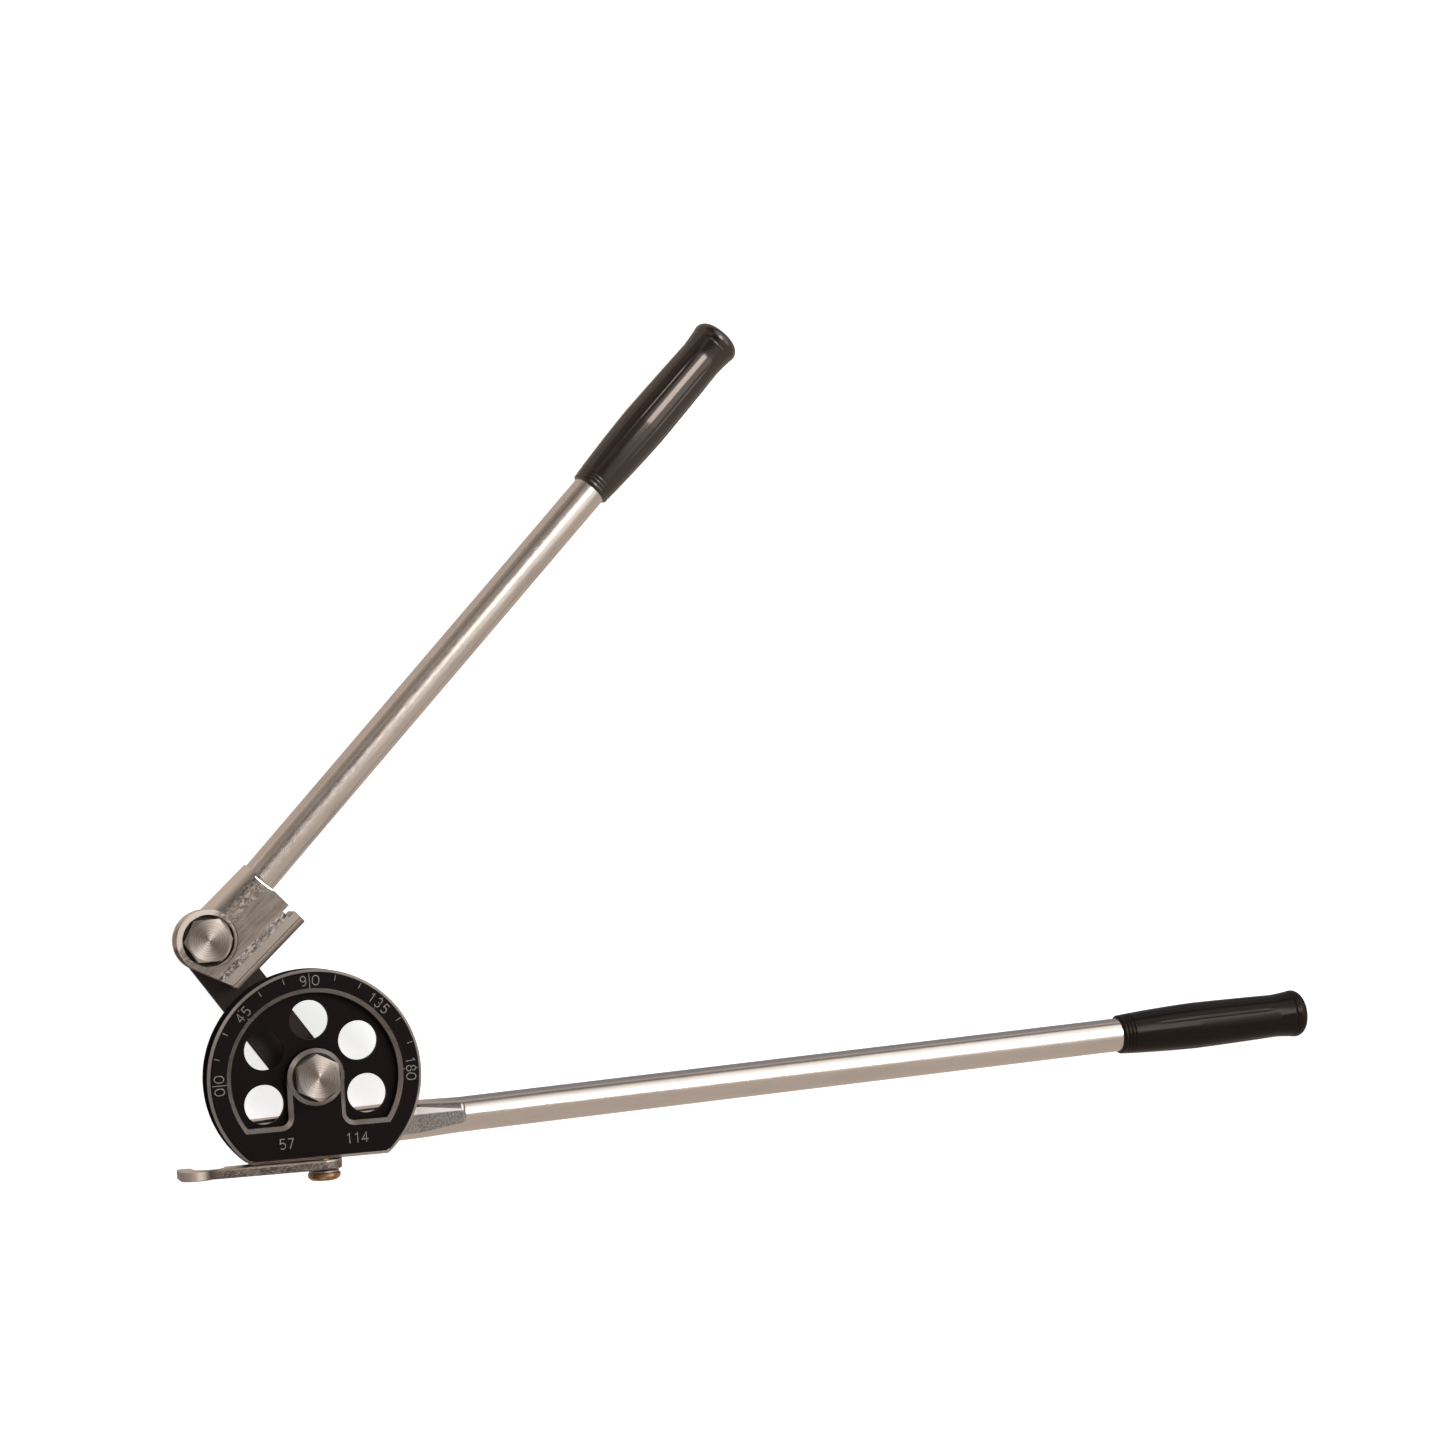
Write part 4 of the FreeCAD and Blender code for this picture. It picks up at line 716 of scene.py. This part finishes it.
def stage_floor():
    """White floor just below the object, which shiny surfaces see beige, with two darker places."""
    p = Paint("floor", (0.90, 0.90, 0.90), 0.0, 0.9)
    path = p.node("ShaderNodeLightPath")
    p.shader.inputs["Emission Color"].default_value = (1, 1, 1, 1)
    p.link(p.times(path.outputs["Is Camera Ray"], 0.70), p.shader.inputs["Emission Strength"])
    x, y, _ = p.split(p.place)
    right = p.times(p.above(x, 0.05, 0.09), p.above(y, -0.036, -0.020), p.below(y, 0.06, 0.11))
    left = p.times(p.below(x, -0.09, -0.06), p.below(y, 0.03, 0.07))
    tone = p.mix(right, (0.59, 0.51, 0.45), (0.30, 0.30, 0.32))
    seen = p.node("ShaderNodeEmission")
    p.link(p.mix(left, tone, (0.20, 0.17, 0.155)), seen.inputs["Color"])
    both = p.node("ShaderNodeMixShader")
    p.link(path.outputs["Is Glossy Ray"], both.inputs[0])
    p.link(p.shader.outputs[0], both.inputs[1])
    p.link(seen.outputs[0], both.inputs[2])
    p.link(both.outputs[0], p.tree.nodes["Material Output"].inputs["Surface"])
    level = cad_box[0][2] - 0.6 * MM
    reach = 8.0
    corners = [(side * reach, end * reach, level) for side, end in ((-1, -1), (1, -1), (1, 1), (-1, 1))]
    mesh = bpy.data.meshes.new("floor")
    mesh.from_pydata(corners, [], [(0, 1, 2, 3)])
    mesh.materials.append(p.material)
    floor = bpy.data.objects.new("floor", mesh)
    bpy.context.scene.collection.objects.link(floor)


def lamp(name, place, aim, width, height, power, colour):
    """Soft lamp for matt surfaces; the world lights the shiny ones."""
    data = bpy.data.lights.new(name, "AREA")
    data.shape = "RECTANGLE"
    data.size = width
    data.size_y = height
    data.energy = power
    data.color = colour
    made = bpy.data.objects.new(name, data)
    bpy.context.scene.collection.objects.link(made)
    made.location = place
    made.rotation_euler = (Vector(aim) - Vector(place)).to_track_quat("-Z", "Y").to_euler()
    made.visible_glossy = False


# What shiny surfaces see, each over those before it: direction, outer and inner angle in degrees, colour.
REFLECTED = (
    ((-1.0, -0.25, 0.10), 62, 25, (0.22, 0.19, 0.175)),
    ((-0.66, 0.74, 0.12), 22, 10, (0.92, 0.80, 0.70)),
    ((-0.27, 0.14, 0.95), 33, 8, (0.11, 0.085, 0.075)),
    ((0.36, 0.92, -0.13), 24, 13, (0.10, 0.10, 0.11)),
    ((0.02, 1.0, 0.05), 18, 6, (0.13, 0.12, 0.12)),
    ((0.52, 0.52, 0.68), 40, 25, (1.40, 1.40, 1.40)),
    ((0.70, 0.16, 0.69), 31, 18, (1.52, 1.50, 1.47)),
    ((0.43, 0.43, 0.79), 13, 5, (7.0, 6.6, 6.2)),
    ((0.22, 0.31, 0.925), 9, 4, (8.0, 7.5, 7.1)),
    ((0.34, 0.18, 0.92), 8, 4, (8.0, 7.5, 7.1)),
    ((-0.24, 0.88, 0.40), 32, 1, (0.10, 0.085, 0.08)),
    ((-0.39, 0.88, 0.26), 19, 8, (0.28, 0.24, 0.21)))


def studio():
    """White to the camera, soft to matt surfaces, and a beige room to shiny ones."""
    world = bpy.data.worlds.new("studio")
    world.use_nodes = True
    tree = world.node_tree
    tree.nodes.clear()

    def node(kind, **settings):
        made = tree.nodes.new(kind)
        for key, value in settings.items():
            setattr(made, key, value)
        return made

    def background(colour, strength):
        made = node("ShaderNodeBackground")
        made.inputs["Color"].default_value = (*colour, 1)
        made.inputs["Strength"].default_value = strength
        return made

    def blend(factor, a, b):
        made = node("ShaderNodeMixShader")
        tree.links.new(factor, made.inputs[0])
        tree.links.new(a.outputs[0], made.inputs[1])
        tree.links.new(b.outputs[0], made.inputs[2])
        return made

    def ranged(source, start, end):
        made = node("ShaderNodeMapRange", interpolation_type="SMOOTHSTEP")
        made.inputs["From Min"].default_value = start
        made.inputs["From Max"].default_value = end
        tree.links.new(source, made.inputs["Value"])
        return made.outputs["Result"]

    direction = node("ShaderNodeTexCoord").outputs["Generated"]

    def towards(aim, wide, narrow):
        """1 inside the narrow angle round aim, 0 outside the wide one, in degrees."""
        made = node("ShaderNodeVectorMath", operation="DOT_PRODUCT")
        tree.links.new(direction, made.inputs[0])
        made.inputs[1].default_value = Vector(aim).normalized()
        return ranged(made.outputs["Value"], math.cos(math.radians(wide)), math.cos(math.radians(narrow)))

    path = node("ShaderNodeLightPath")
    shiny = background((0.57, 0.50, 0.44), 1.0)
    for aim, wide, narrow, colour in REFLECTED:
        shiny = blend(towards(aim, wide, narrow), shiny, background(colour, 1.0))
    soft = background((1.0, 0.985, 0.965), 0.62)
    white = background((1, 1, 1), 1.0)
    shown = blend(path.outputs["Is Glossy Ray"], soft, shiny)
    shown = blend(path.outputs["Is Camera Ray"], shown, white)
    out = node("ShaderNodeOutputWorld")
    tree.links.new(shown.outputs[0], out.inputs["Surface"])
    bpy.context.scene.world = world


def camera():
    """Camera at the photo's place, as fitted to the part's own frame."""
    photo_pixels, focal_pixels = 1445, 3071.61
    turn_x, turn_y, turn_z = (math.radians(a) for a in (-1.577, 16.905, 5.367))
    origin_seen = Vector((-0.218532, -0.188186, -1.636530))
    view = (Matrix.Rotation(turn_z, 3, "Z") @ Matrix.Rotation(turn_x, 3, "X")
            @ Matrix.Rotation(turn_y, 3, "Y"))
    back = view.transposed()
    data = bpy.data.cameras.new("camera")
    data.sensor_width = 36.0
    data.lens = data.sensor_width * focal_pixels / photo_pixels
    data.clip_end = 50
    made = bpy.data.objects.new("camera", data)
    bpy.context.scene.collection.objects.link(made)
    made.matrix_world = Matrix.Translation(-(back @ origin_seen)) @ back.to_4x4()
    bpy.context.scene.camera = made


stage_floor()
studio()
lamp("key", (0.87, 1.0, 1.7), (0.25, 0.1, 0), 0.75, 1.5, 22, (1.0, 0.99, 0.975))
lamp("fill", (-1.1, -0.9, 1.3), (0.1, 0.1, 0), 1.2, 0.8, 5, (1.0, 0.97, 0.93))
camera()
bpy.context.scene.view_settings.view_transform = "Standard"
